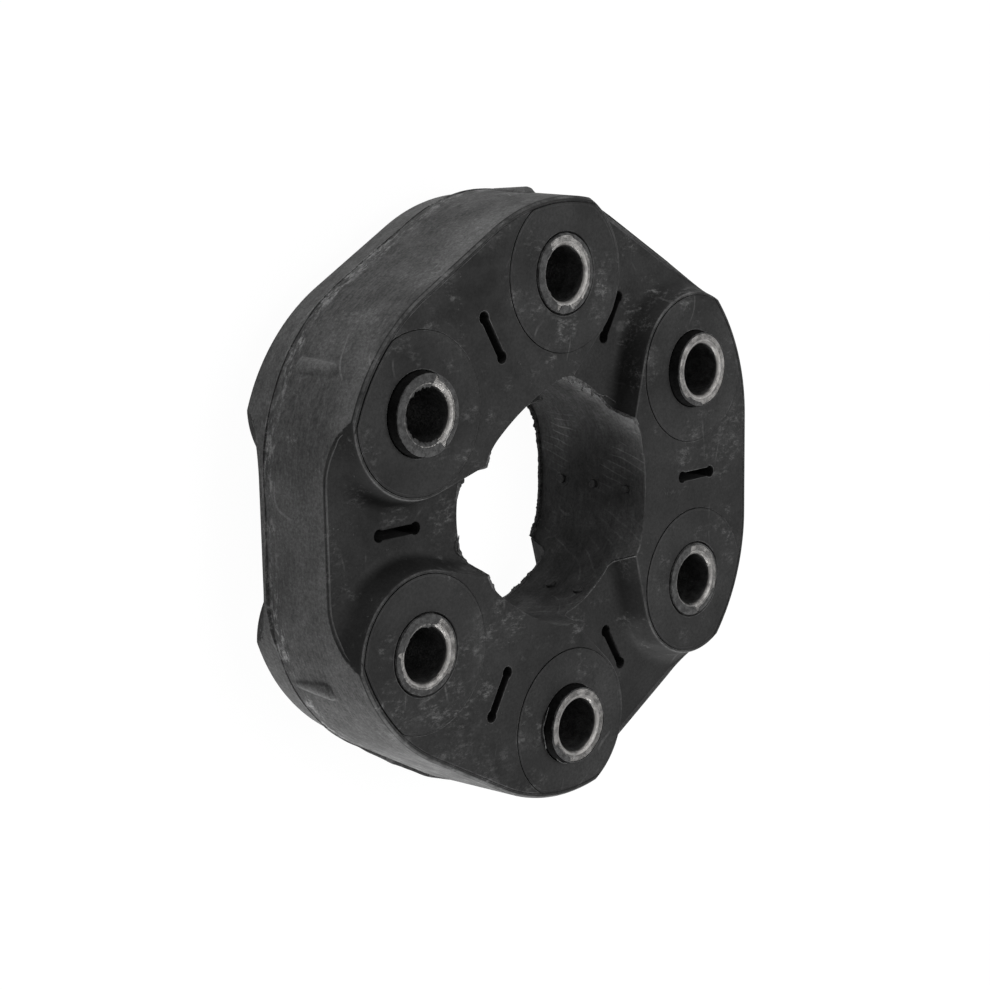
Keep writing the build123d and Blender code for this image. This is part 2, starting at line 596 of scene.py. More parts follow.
@dataclass
class RubberBody:
    """The moulded rubber: wall, pads, valleys, central opening, slots and direction marks."""

    form: DiscForm
    fine_step: float = 0.3
    coarse_step: float = 1.5
    fine_reach: float = 4.5
    rear_row: float = 1.4
    front_row: float = 1.2
    row_step: float = 0.6
    parting_row_step: float = 0.3
    parting_rows_reach: float = 1.2
    rim_round: Profile = ((0.0, 0.8), (0.05, 0.5), (0.17, 0.27), (0.36, 0.1), (0.6, 0.0))
    rim_groove: Profile = (
        (-0.42, 0.0), (-0.34, 0.04), (-0.28, 0.18), (-0.12, 0.18), (-0.05, 0.05), (0.06, 0.01), (0.2, 0.0)
    )
    slot_length: float = 12.7
    slot_width: float = 2.0
    slot_end_radius: float = 1.35
    slot_end_steps: int = 16
    slot_centre_radius: float = 44.3
    slot_web: float = 1.2
    slot_lip: float = 0.22
    mark_length: float = 12.4
    mark_wide_radius: float = 2.5
    mark_narrow_radius: float = 1.8
    mark_wide_end: float = 0.08
    mark_narrow_end: float = 0.12
    mark_stand_out: float = 0.9
    mark_height: float = 0.6
    mark_shift: float = 1.5
    mark_turn: float = -1.3
    mark_blend: float = 0.15
    bore_rim_radius: float = 0.35
    bore_rear_draft: float = 0.8
    bore_rows: Triple = (8.0, 0.0, -8.0)
    bore_columns: int = 288
    collar_gap: float = 0.09
    collar_rim_gap: float = 0.08
    collar_lip: float = 0.2
    collar_columns: int = 160
    mould_step: float = 0.25
    sharp_angle: float = 40.0

    def columns(self) -> list[float]:
        """Directions of the wall's columns: close together at the marks, wider apart between them.

        Returns:
            The directions in degrees.
        """
        angles: list[float] = []
        rest = 60 - 2 * self.fine_reach
        fine = round(2 * self.fine_reach / self.fine_step)
        coarse = round(rest / self.coarse_step)
        for index in range(6):
            centre = self.form.sleeve_angle(index)
            angles += [centre - self.fine_reach + self.fine_step * i for i in range(fine)]
            angles += [centre + self.fine_reach + rest * i / coarse for i in range(coarse)]
        return angles

    def rows(self) -> list[Pair]:
        """Rows of the side wall and of the band round each pad's edge.

        Returns:
            Inset and height of each row, from the rear rim to the front rim.
        """
        top = self.form.pad_height
        rim = [(inset, top - depth) for inset, depth in self.rim_round]
        rim += [(self.form.rim_band + shift, top - depth) for shift, depth in self.rim_groove]
        levels = []
        height = -top + self.rear_row
        while height < top - self.front_row:
            levels.append((0.0, height))
            near_parting = abs(height - self.form.parting_height) < self.parting_rows_reach
            height += self.parting_row_step if near_parting else self.row_step
        return [(inset, -height) for inset, height in reversed(rim)] + levels + rim

    def mark_rise(self, angle: float, height: float, wall: float) -> float:
        """Radius of the wall with the direction mark blended in.

        Args:
            angle: Direction in degrees.
            height: Place along the axis.
            wall: Radius of the bare wall there.

        Returns:
            The radius.
        """
        index = round((angle - 30) / 60) % 6
        off = (angle - self.form.sleeve_angle(index) - self.mark_turn + 180) % 360 - 180
        rise = (height - self.mark_height) * self.form.sleeve_side(index).value
        along = (rise - self.mark_shift) / self.mark_length + 0.5
        end = min(along / self.mark_wide_end, (1 - along) / self.mark_narrow_end, 1.0)
        if end <= 0:
            return wall
        radius = blend(self.mark_wide_radius, self.mark_narrow_radius, min(1, max(0, along)))
        radius *= math.sqrt(1 - (1 - end) ** 2)
        axis = self.form.parting.reach(self.form.sleeve_angle(index))
        axis += self.mark_stand_out - self.mark_wide_radius
        side = axis * math.sin(math.radians(off))
        if abs(side) >= radius:
            return wall
        crown = axis * math.cos(math.radians(off)) + math.sqrt(radius * radius - side * side)
        return -smooth_min(-wall, -crown, self.mark_blend)

    def wall(self) -> Piece:
        """Solid inside the side wall, with the band round each pad's edge and the direction marks.

        Returns:
            The solid.
        """
        angles = self.columns()
        rings = []
        for inset, height in self.rows():
            ring = []
            for angle in angles:
                reach = self.form.wall_reach(angle, height) - inset
                if height < self.form.parting_height:
                    reach -= self.mould_step
                if inset == 0:
                    reach = self.mark_rise(angle, height, reach)
                ring.append(polar(reach, angle, height))
            rings.append(ring)
        return lofted("rubber_body_moulding", rings)

    def bore_cutter(self) -> Piece:
        """Solid that fills the central opening, flared at both rims.

        Returns:
            The solid.
        """
        top = self.form.pad_height
        draft = self.bore_rear_draft
        rim = rounded_edge(self.bore_rim_radius, 0, 7)
        flared = self.bore_rim_radius + 0.02
        rows = [(flared, top + 1.0)] + [(-inset, top - depth) for inset, depth in rim]
        rows += [(0.0, height) for height in self.bore_rows]
        rows += [(draft - inset, depth - top) for inset, depth in reversed(rim)]
        rows += [(draft + flared, -top - 1.0)]
        walls = [(self.form.bore_reach(angle), angle) for angle in full_turn(self.bore_columns)]
        rings = [[polar(wall + flare, angle, height) for wall, angle in walls] for flare, height in rows]
        return lofted("bore_cutter", rings)

    def valley_cutters(self) -> Piece:
        """Solids that fill the six valleys, with rounded edges and feet that widen towards the wall.

        Returns:
            The solids as one piece.
        """
        form = self.form
        mouth = form.valley_mouth()
        edge = rounded_edge(form.edge_radius, form.valley_slope)
        narrow, wide = (
            edge + foot(radius, form.valley_slope, form.valley_depth)
            for radius in (form.valley_foot_radius, form.wall_foot_radius)
        )
        shares = [form.foot_share(spot) for spot in mouth]
        loops = [offset_loop(mouth, edge[0][0] - 0.02, form.pad_height + 1.0)]
        for pairs in zip(narrow, wide):
            inner, outer = (offset_loop(mouth, inset, form.pad_height - depth) for inset, depth in pairs)
            loops.append([spot.lerp(other, share) for spot, other, share in zip(inner, outer, shares)])
        places = [(120 * index + 60, side) for index in range(3) for side in Side]
        return join([lofted("valley_cutter", turned(loops, angle, side)) for angle, side in places])

    def collar_reach(self, index: int, turn: float) -> float:
        """Distance from a sleeve's axis to the edge of its collar, inside the band at the disc's rim.

        Args:
            index: The sleeve's place in the order.
            turn: Direction from the sleeve's axis in degrees.

        Returns:
            The distance.
        """
        centre = self.form.sleeve_centre(index)
        limit = self.form.collar_radius
        low, high = 0.0, limit + 1.0
        for _ in range(24):
            middle = (low + high) / 2
            spot = centre + polar(middle, turn)
            if spot.length < self.form.face.reach(direction(spot)) - self.form.rim_band - 0.05:
                low = middle
            else:
                high = middle
        return smooth_min(low, limit, 0.25)

    def pocket_reach(self, index: int, turn: float) -> float:
        """Distance from a sleeve's axis to the edge of its collar's pocket.

        Args:
            index: The sleeve's place in the order.
            turn: Direction from the sleeve's axis in degrees.

        Returns:
            The distance.
        """
        outwards = math.cos(math.radians(turn - self.form.sleeve_angle(index)))
        gap = blend(self.collar_gap, self.collar_rim_gap, smooth_step(-0.1, 0.6, outwards))
        return self.collar_reach(index, turn) + gap

    def pocket_cutters(self) -> Piece:
        """Solids that fill the six sleeve holes and the collar pockets at their ends.

        Returns:
            The solids as one piece.
        """
        form = self.form
        turns = full_turn(self.collar_columns)
        half = [(None, form.collar_floor)] + soft_mouth(form.collar_floor, form.pad_height, self.collar_lip)
        rows = [(flare, -height) for flare, height in reversed(half)] + half
        cutters = []
        for index in range(6):
            centre = form.sleeve_centre(index)
            pocket = [self.pocket_reach(index, turn) for turn in turns]
            rings = []
            for flare, height in rows:
                radii = [form.sleeve_radius if flare is None else reach + flare for reach in pocket]
                rings.append([centre + polar(radius, turn, height) for radius, turn in zip(radii, turns)])
            cutters.append(lofted("pocket_cutter", rings))
        return join(cutters)

    def slot_loop(self) -> Loop:
        """Outline of the dog-bone slot on +X.

        Returns:
            The points of a loop that turns to the right.
        """
        half = self.slot_length / 2 - self.slot_end_radius
        neck = math.degrees(math.asin(self.slot_width / 2 / self.slot_end_radius))
        points = []
        for end in (1, -1):
            for step in range(self.slot_end_steps + 1):
                turn = neck - 180 + (360 - 2 * neck) * step / self.slot_end_steps
                arc = polar(self.slot_end_radius, turn) + Vector((half, 0, 0))
                points.append(Vector((arc.x * end + self.slot_centre_radius, arc.y * end, 0)))
        return list(reversed(points))

    def slot_cutters(self) -> Piece:
        """Solids that fill both ends of the six slots, with softened mouths.

        Returns:
            The solids as one piece.
        """
        form = self.form
        outline = self.slot_loop()
        cutters = []
        for index in range(6):
            mouth = form.pad_height if index % 2 == 0 else form.valley_height
            for side in Side:
                floor = form.parting_height * side.value + self.slot_web / 2
                levels = soft_mouth(floor, mouth, self.slot_lip)
                loops = [offset_loop(outline, -flare, height) for flare, height in levels]
                cutters.append(lofted("slot_cutter", turned(loops, 60 * index, side)))
        return join(cutters)

    def build(self) -> Piece:
        """Model the rubber body: the wall's solid, less the solids that fill its hollows.

        Returns:
            The body.
        """
        body = self.wall()
        for cutter in (self.bore_cutter(), self.valley_cutters(), self.pocket_cutters(), self.slot_cutters()):
            cut(body, cutter)
        smooth(body, self.sharp_angle)
        return body


@dataclass
class GuideCollars:
    """The flat collars round the sleeves, one in each face."""

    form: DiscForm
    body: RubberBody
    raise_height: float = 0.1
    rim_radius: float = 0.2
    groove: Profile = ((0.3, 0.0), (0.4, 0.05), (0.5, 0.05), (0.6, 0.0))
    inner_clearance: float = 0.55
    inner_radius: float = 0.35
    skirt_height: float = 1.4
    fit: float = 0.02

    def section(self) -> list[Triple]:
        """Section of a collar.

        Returns:
            Share of the way from its hole to its edge, shift outwards and height of each point.
        """
        top = self.form.pad_height + self.raise_height
        low = self.form.collar_floor + 0.01
        snug = self.fit - self.inner_clearance
        section = [(1.0, 0.0, low)]
        outer = rounded_edge(self.rim_radius, 0, 3)
        section += [(1.0, -inset - self.rim_radius, top - depth) for inset, depth in reversed(outer)]
        section += [(1.0, -self.rim_radius - inset, top - depth) for inset, depth in self.groove]
        section += [(0.5, 0.0, top)]
        section += [(0.0, -inset, top - depth) for inset, depth in rounded_edge(self.inner_radius, 0, 4)]
        section += [(0.0, 0.0, top - self.skirt_height), (0.0, snug, top - self.skirt_height - 0.1)]
        return section + [(0.0, snug, low)]

    def collar(self, index: int, side: Side) -> Piece:
        """Model one collar.

        Args:
            index: The place of its sleeve in the order.
            side: The face that it lies in.

        Returns:
            The collar.
        """
        hole = self.form.sleeve_radius + self.inner_clearance
        section = self.section()
        sections = []
        for turn in full_turn(self.body.collar_columns):
            width = self.body.collar_reach(index, turn) - hole
            profile = [(hole + width * share + shift, height) for share, shift, height in section]
            sections.append(section_at(profile, turn, self.form.sleeve_centre(index), side))
        name = f"collar_{side.word}_{self.form.sleeve_names[index]}_skin"
        return swept(name, sections, self.body.sharp_angle, True)


@dataclass
class BoltSleeves:
    """The six turned steel sleeves."""

    form: DiscForm
    edge_chamfer: float = 0.3
    bore_chamfer: float = 0.8
    count: int = 128
    sharp_angle: float = 30.0

    def sleeve(self, index: int) -> Piece:
        """Model one sleeve.

        Args:
            index: Its place in the order round the disc.

        Returns:
            The sleeve.
        """
        form = self.form
        ends = form.sleeve_end(index, Side.FRONT), -form.sleeve_end(index, Side.REAR)
        outer, bore = form.sleeve_radius, form.sleeve_bore_radius
        centre = form.sleeve_centre(index)
        middle = Vector((centre.x, centre.y, sum(ends) / 2)) * MM
        pick()
        bpy.ops.mesh.primitive_cylinder_add(
            vertices=self.count, radius=outer * MM, depth=(ends[0] - ends[1]) * MM, location=middle
        )
        piece = bpy.context.object
        piece.name = f"sleeve_{form.sleeve_names[index]}_tube"
        bpy.ops.object.transform_apply(location=True, rotation=False, scale=False)
        bpy.ops.object.mode_set(mode="EDIT")
        select(piece, MeshPart.FACE, lambda face: abs(face.normal.z) > 0.9)
        bpy.ops.mesh.inset(thickness=(outer - bore) * MM)
        bpy.ops.mesh.bridge_edge_loops()
        for radius, chamfer, segments in ((bore, self.bore_chamfer, 3), (outer, self.edge_chamfer, 2)):
            select(piece, MeshPart.EDGE, lambda edge: self.runs_round(edge, centre, ends, radius))
            bpy.ops.mesh.bevel(offset=chamfer * MM, segments=segments, affect="EDGES")
        bpy.ops.object.mode_set(mode="OBJECT")
        smooth(piece, self.sharp_angle)
        turned_radius = piece.data.attributes.new("turned_radius", "FLOAT", "POINT")
        for vertex in piece.data.vertices:
            turned_radius.data[vertex.index].value = self.reach(vertex.co / MM, centre)
        return piece

    def runs_round(self, edge: bmesh.types.BMEdge, centre: Vector, ends: Pair, radius: float) -> bool:
        """Tell whether an edge runs round an end of the tube at a radius.

        Args:
            edge: The edge.
            centre: Middle of the sleeve.
            ends: Heights of the front end and the rear end.
            radius: The radius.

        Returns:
            Whether it does.
        """
        first, second = (vertex.co / MM for vertex in edge.verts)
        near, far = self.reach(first, centre), self.reach(second, centre)
        if ends[1] + TINY <= first.z <= ends[0] - TINY or abs(first.z - second.z) >= TINY:
            return False
        return abs(near - far) < 0.05 and abs(near - radius) < 0.2

    def reach(self, point: Vector, centre: Vector) -> float:
        """Distance of a point from a sleeve's axis, both in millimetres."""
        return math.hypot(point.x - centre.x, point.y - centre.y)


@dataclass(frozen=True)
class FilmCover:
    """Part of a sleeve's end that a film of rubber covers, from one direction to the next."""

    start: float
    end: float
    share: float


@dataclass
class SleeveRubber:
    """Thin rubber left on the sleeves: a skirt round each end and a torn film over its face."""

    form: DiscForm
    covers: dict[str, tuple[FilmCover, ...]] = field(
        default_factory=lambda: {
            "a": (FilmCover(125, 250, 1.12), FilmCover(250, 285, 0.75), FilmCover(285, 438, 0.36)),
            "b": (FilmCover(226, 272, 0.5),),
            "c": (FilmCover(98, 278, 1.1), FilmCover(278, 338, 0.5), FilmCover(338, 458, 0.14)),
            "d": (FilmCover(198, 252, 0.55),),
            "e": (FilmCover(58, 168, 1.2), FilmCover(168, 322, 0.5), FilmCover(322, 418, 0.14)),
            "f": (FilmCover(72, 302, 1.3), FilmCover(302, 432, 0.5)),
        }
    )
    film_thickness: float = 0.1
    film_spread: float = 7.0
    least_share: float = 0.03
    shoulder_width: float = 0.8
    shoulder_drop: float = 0.55
    skirt_inner: float = 8.3
    skirt_outer: float = 8.68
    skirt_drop: float = 0.12
    skirt_floor: float = 0.2
    long_bite: float = 0.35
    short_bite: float = 0.15
    count: int = 180
    sharp_angle: float = 50.0

    def covered(self, name: str, turn: float) -> float:
        """Share of the ring's width that the film covers.

        Args:
            name: The sleeve's name.
            turn: Direction from the sleeve's axis in degrees.

        Returns:
            The share.
        """
        share = self.least_share
        for cover in self.covers[name]:
            past = (turn - cover.start) % 360
            width = cover.end - cover.start
            if past < width:
                share = max(share, cover.share * smooth_step(0, self.film_spread, min(past, width - past)))
        return max(self.least_share, share + 0.16 * share * (torn(turn, 0.35, ord(name)) - 0.5) * 2)

    def film(self, index: int) -> Piece:
        """Model the film on the front end of one sleeve.

        Args:
            index: The sleeve's place in the order.

        Returns:
            The film.
        """
        form = self.form
        name = form.sleeve_names[index]
        level = form.sleeve_end(index, Side.FRONT)
        outer = form.sleeve_radius - 0.05
        width = outer - form.sleeve_bore_radius - 0.25
        shoulder = form.sleeve_bore_radius + self.shoulder_width
        sections = []
        for turn in full_turn(self.count):
            inner = outer - width * self.covered(name, turn)
            bend = max(inner + 0.12, shoulder)
            drop = self.shoulder_drop * max(0.0, shoulder - inner)
            top = level + self.film_thickness * (1 + 0.7 * ripple(turn, 0.9, index + 2))
            profile = [(outer + 0.12, level - 0.4), (outer + 0.12, level - 0.02), (outer - 0.1, top)]
            profile += [(bend, top), (inner + 0.08, top - drop), (inner, level - 0.1 - drop)]
            profile += [(bend - 0.02, level - 0.2), (outer - 0.3, level - 0.1)]
            sections.append(section_at(profile, turn, form.sleeve_centre(index)))
        return swept(f"film_{name}", sections, self.sharp_angle, True)

    def skirt(self, index: int, side: Side) -> Piece:
        """Model the skirt of rubber that hugs one end of a sleeve.

        Args:
            index: The sleeve's place in the order.
            side: The face that the end belongs to.

        Returns:
            The skirt.
        """
        form = self.form
        long_end = form.sleeve_side(index) is side
        top = form.pad_height + (form.long_stand_out - self.skirt_drop if long_end else 0.1)
        low = form.collar_floor + self.skirt_floor
        bite = self.long_bite if long_end else self.short_bite
        inner, outer = self.skirt_inner, self.skirt_outer
        sections = []
        for turn in full_turn(self.count):
            level = top - bite * torn(turn, 0.28, index + 5 * side.value)
            swollen = outer + 0.12 * ripple(turn, 0.3, index + 40)
            profile = [(inner, low), (outer + 0.1, low), (swollen, level - 0.5), (swollen - 0.1, level)]
            profile += [(inner, level + 0.03)]
            sections.append(section_at(profile, turn, form.sleeve_centre(index), side))
        return swept(f"skirt_{form.sleeve_names[index]}_{side.word}", sections, self.sharp_angle, True)


@dataclass(frozen=True)
class Fringe:
    """Run of torn flash along one rim of the central opening."""

    side: Side
    start: float
    end: float
    length: float
    seed: float


@dataclass(frozen=True)
class Strand:
    """Loose thread of flash, as a few points in the disc's frame."""

    radius: float
    points: tuple[Triple, ...]


@dataclass
class MouldFlash:
    """Thin rubber that the mould leaves: at the parting line, the valleys' edges and the opening's rims."""

    form: DiscForm
    fringes: tuple[Fringe, ...] = (
        Fringe(Side.FRONT, 31, 93, 2.2, 3.0),
        Fringe(Side.FRONT, 148, 172, 1.0, 7.0),
        Fringe(Side.FRONT, 186, 214, 0.6, 11.0),
        Fringe(Side.FRONT, 276, 331, 0.22, 19.0),
        Fringe(Side.REAR, -75, 78, 0.8, 31.0),
        Fringe(Side.REAR, 78, 285, 0.6, 37.0),
    )
    strands: tuple[Strand, ...] = (
        Strand(0.16, (
            (-27.0, -3.6, 10.3), (-27.9, -5.4, 10.9), (-27.6, -7.2, 10.5), (-26.0, -8.6, 10.6),
            (-24.9, -9.8, 10.2)
        )),
        Strand(0.17, (
            (-7.2, -44.8, 17.0), (-8.6, -46.4, 17.5), (-9.3, -49.0, 17.2), (-9.2, -51.5, 17.5),
            (-8.2, -53.9, 17.0)
        )),
        Strand(0.15, ((-6.4, -54.8, 17.1), (-5.2, -56.9, 17.4), (-3.4, -58.3, 17.2), (-1.6, -58.9, 17.1))),
        Strand(0.2, (
            (24.9, 15.9, 10.8), (26.1, 16.9, 12.4), (27.5, 16.5, 13.4), (28.5, 15.0, 14.2), (29.3, 13.9, 15.4)
        )),
        Strand(0.15, (
            (16.4, 21.9, 10.2), (18.0, 21.1, 11.2), (19.6, 20.9, 10.6), (21.4, 19.5, 11.5), (23.2, 18.2, 11.2)
        )),
        Strand(0.15, ((10.4, 25.3, 10.3), (11.6, 24.2, 11.0), (12.1, 22.9, 10.2), (13.4, 22.6, 10.6))),
    )
    fin_root: float = 0.34
    fin_columns: int = 960
    long_fin_angle: float = 243.0
    sharp_angle: float = 45.0
    lip_half_angle: float = 20.4
    lip_columns: int = 150
    lip_crest: float = 0.3
    lip_profile: Profile = ((0.34, 0.3), (0.46, 0.9), (0.6, 1.0), (0.76, 0.85), (0.95, 0.2))
    lip_sharp_angle: float = 50.0
    fringe_step: float = 0.5
    strand_steps: int = 8
    strand_sides: int = 6
    strand_sharp_angle: float = 60.0

    def fin_height(self, angle: float) -> float:
        """Height of the parting line's flash, tallest at the valleys and patchy at the pads.

        Args:
            angle: Direction in degrees.

        Returns:
            The height.
        """
        valley = abs((angle % 120) - 60)
        base = 0.35 + 0.8 * smooth_step(26, 10, valley)
        base = base + 0.6 * smooth_step(13, 7, abs(angle % 360 - self.long_fin_angle))
        rough = torn(angle, 0.16, 2.0)
        patch = smooth_step(-0.35, 0.05, ripple(angle, 0.05, 5.0))
        return 0.06 + base * (0.35 + 0.65 * rough) * (0.25 + 0.75 * patch)

    def parting(self) -> Piece:
        """Model the wavy flash round the parting line.

        Returns:
            The flash.
        """
        level = self.form.parting_height
        sections = []
        for angle in full_turn(self.fin_columns):
            wall = self.form.wall_reach(angle, level)
            rise = self.fin_height(angle)
            base = level + 0.22 * ripple(angle, 0.35, 4.0)
            tip = base + 0.22 * ripple(angle, 0.11, 8.0) * rise
            root = self.fin_root * (0.8 + 0.9 * torn(angle, 0.5, 6.0))
            profile = [(wall - 0.5, base), (wall - 0.02, base - root), (wall + rise, tip - 0.05)]
            profile += [(wall + rise, tip + 0.05), (wall - 0.02, base + 0.12)]
            sections.append(section_at(profile, angle, Vector()))
        return swept("parting_flash", sections, self.sharp_angle, True)

    def lip(self, centre: float, side: Side) -> Piece:
        """Model the fine bead along the outer edge of one valley.

        Args:
            centre: Direction of the valley in degrees.
            side: The face that it lies in.

        Returns:
            The bead.
        """
        form = self.form
        reach = self.lip_half_angle
        sections = []
        for angle, end in tapered(centre - reach, centre + reach, self.lip_columns, 0.08):
            height = form.face_height(polar(form.wall_reach(angle, form.valley_height) - 0.5, angle))
            wall = form.wall_reach(angle, height * side.value)
            crest = (self.lip_crest + 0.06 * ripple(angle, 0.2, centre)) * end + 0.02
            profile = [(wall - 0.3, height - 0.5)]
            profile += [(wall - inset, height + crest * share) for inset, share in self.lip_profile]
            profile += [(wall - 1.15, height), (wall - 1.15, height - 0.5)]
            sections.append(section_at(profile, angle, Vector(), side))
        return swept("valley_lip", sections, self.lip_sharp_angle, False)

    def fringe(self, run: Fringe) -> Piece:
        """Model one run of torn flash along a rim of the opening.

        Args:
            run: Where it runs and how long its tatters are.

        Returns:
            The flash.
        """
        form = self.form
        steps = round((run.end - run.start) / self.fringe_step)
        wave = 0.5 if run.side is Side.FRONT else 0.9
        sections = []
        for angle, end in tapered(run.start, run.end, steps, 0.06):
            reach = form.bore_reach(angle)
            height = form.face_height(polar(reach + 0.4, angle))
            bite = torn(angle, wave, run.seed) ** 1.6
            patch = smooth_step(-0.3, 0.25, ripple(angle, 0.16, run.seed + 2))
            length = 0.05 + run.length * end * bite * (0.25 + 0.75 * patch)
            lean = math.radians(28 + 45 * ripple(angle, 0.22, run.seed + 4))
            tip, rise = reach + 0.15 - length * math.cos(lean), height - 0.1 + length * math.sin(lean)
            profile = [(reach + 0.75, height - 0.75), (reach + 0.1, height - 0.55), (tip, rise - 0.04)]
            profile += [(tip, rise + 0.04), (reach + 0.5, height + 0.02)]
            sections.append(section_at(profile, angle, Vector(), run.side))
        return swept("opening_flash", sections, self.sharp_angle, False)

    def strand(self, thread: Strand) -> Piece:
        """Model one loose thread along a smooth curve through its points.

        Args:
            thread: Its points and radius.

        Returns:
            The thread.
        """
        points = [Vector(point) for point in thread.points]
        padded = [points[0]] + points + [points[-1]]
        path = []
        for before, first, second, after in zip(padded, padded[1:], padded[2:], padded[3:]):
            for step in range(self.strand_steps):
                share = step / self.strand_steps
                bend = (second - before) * share + (2 * before - 5 * first + 4 * second - after) * share**2
                path.append(first + 0.5 * (bend + (3 * first - before - 3 * second + after) * share**3))
        path.append(points[-1])
        turns = [2 * math.pi * side / self.strand_sides for side in range(self.strand_sides)]
        sections = []
        for index, spot in enumerate(path):
            along = (path[min(index + 1, len(path) - 1)] - path[max(index - 1, 0)]).normalized()
            across = along.cross(Vector((0, 0, 1))).normalized()
            up = across.cross(along)
            radius = thread.radius * (0.75 + 0.5 * noise.noise(spot * 1.3))
            rays = [across * math.cos(turn) + up * math.sin(turn) for turn in turns]
            sections.append([spot + radius * ray for ray in rays])
        return swept("loose_thread", sections, self.strand_sharp_angle, False)

    def build(self) -> list[Piece]:
        """Model all the flash.

        Returns:
            The parting line's flash, the valley lips and the opening's flash with its threads.
        """
        lips = join([self.lip(120 * index + 60, side) for index in range(3) for side in Side])
        lips.name = "valley_lips"
        threads = [self.strand(thread) for thread in self.strands]
        opening = join([self.fringe(run) for run in self.fringes] + threads)
        opening.name = "opening_flash"
        return [self.parting(), lips, opening]


@dataclass(frozen=True)
class Pip:
    """Small moulded nub in a shallow ring on the wall of the opening."""

    angle: float
    height: float
    radius: float


@dataclass
class OpeningPips:
    """Nubs that the mould's vents leave on the wall of the opening."""

    form: DiscForm
    pips: tuple[Pip, ...] = (
        Pip(-3.0, -8.9, 1.15),
        Pip(-3.0, 1.2, 1.0),
        Pip(-3.2, 11.1, 1.0),
        Pip(-60.0, -1.6, 1.2),
        Pip(-60.0, 7.0, 1.2),
    )
    ring_thickness: float = 0.3
    ring_share: float = 1.7
    nub_height: float = 0.65
    bevel: float = 0.25
    sides: int = 20
    sharp_angle: float = 50.0

    def pip(self, nub: Pip) -> Piece:
        """Model one nub.

        Args:
            nub: Its place and size.

        Returns:
            The nub.
        """
        pick()
        spot = polar(self.form.bore_reach(nub.angle) + 0.1, nub.angle, nub.height)
        upright = Matrix.Rotation(math.radians(90), 4, "X")
        turn = Matrix.Rotation(math.radians(nub.angle - 90), 4, "Z") @ upright
        bpy.ops.mesh.primitive_cylinder_add(
            vertices=self.sides, radius=nub.radius * self.ring_share * MM, depth=self.ring_thickness * MM
        )
        piece = bpy.context.object
        bpy.ops.object.mode_set(mode="EDIT")
        select(piece, MeshPart.FACE, lambda face: face.normal.z > 0.9)
        bpy.ops.mesh.inset(thickness=nub.radius * (self.ring_share - 1) * MM)
        bpy.ops.mesh.extrude_region_move(TRANSFORM_OT_translate={"value": (0, 0, self.nub_height * MM)})
        bpy.ops.mesh.bevel(offset=self.bevel * MM, segments=2, affect="EDGES")
        bpy.ops.object.mode_set(mode="OBJECT")
        piece.data.transform(Matrix.Translation(spot * MM) @ turn)
        smooth(piece, self.sharp_angle)
        return piece

    def build(self) -> Piece:
        """Model all the nubs.

        Returns:
            The nubs as one piece.
        """
        pips = join([self.pip(nub) for nub in self.pips])
        pips.name = "opening_pips"
        return pips


@dataclass(frozen=True)
class Pattern:
    """Noise turned into a smooth step between two of its levels."""

    scale: float
    detail: float
    rough: float
    low: float
    high: float
    start: float = 0.0
    end: float = 1.0


@dataclass(frozen=True)
class Smudge:
    """Round patch at a known place on the disc; the lists use it for rubbed smears, for painted shade and for
    painted light.
    """

    centre: Triple
    reach: float
    strength: float


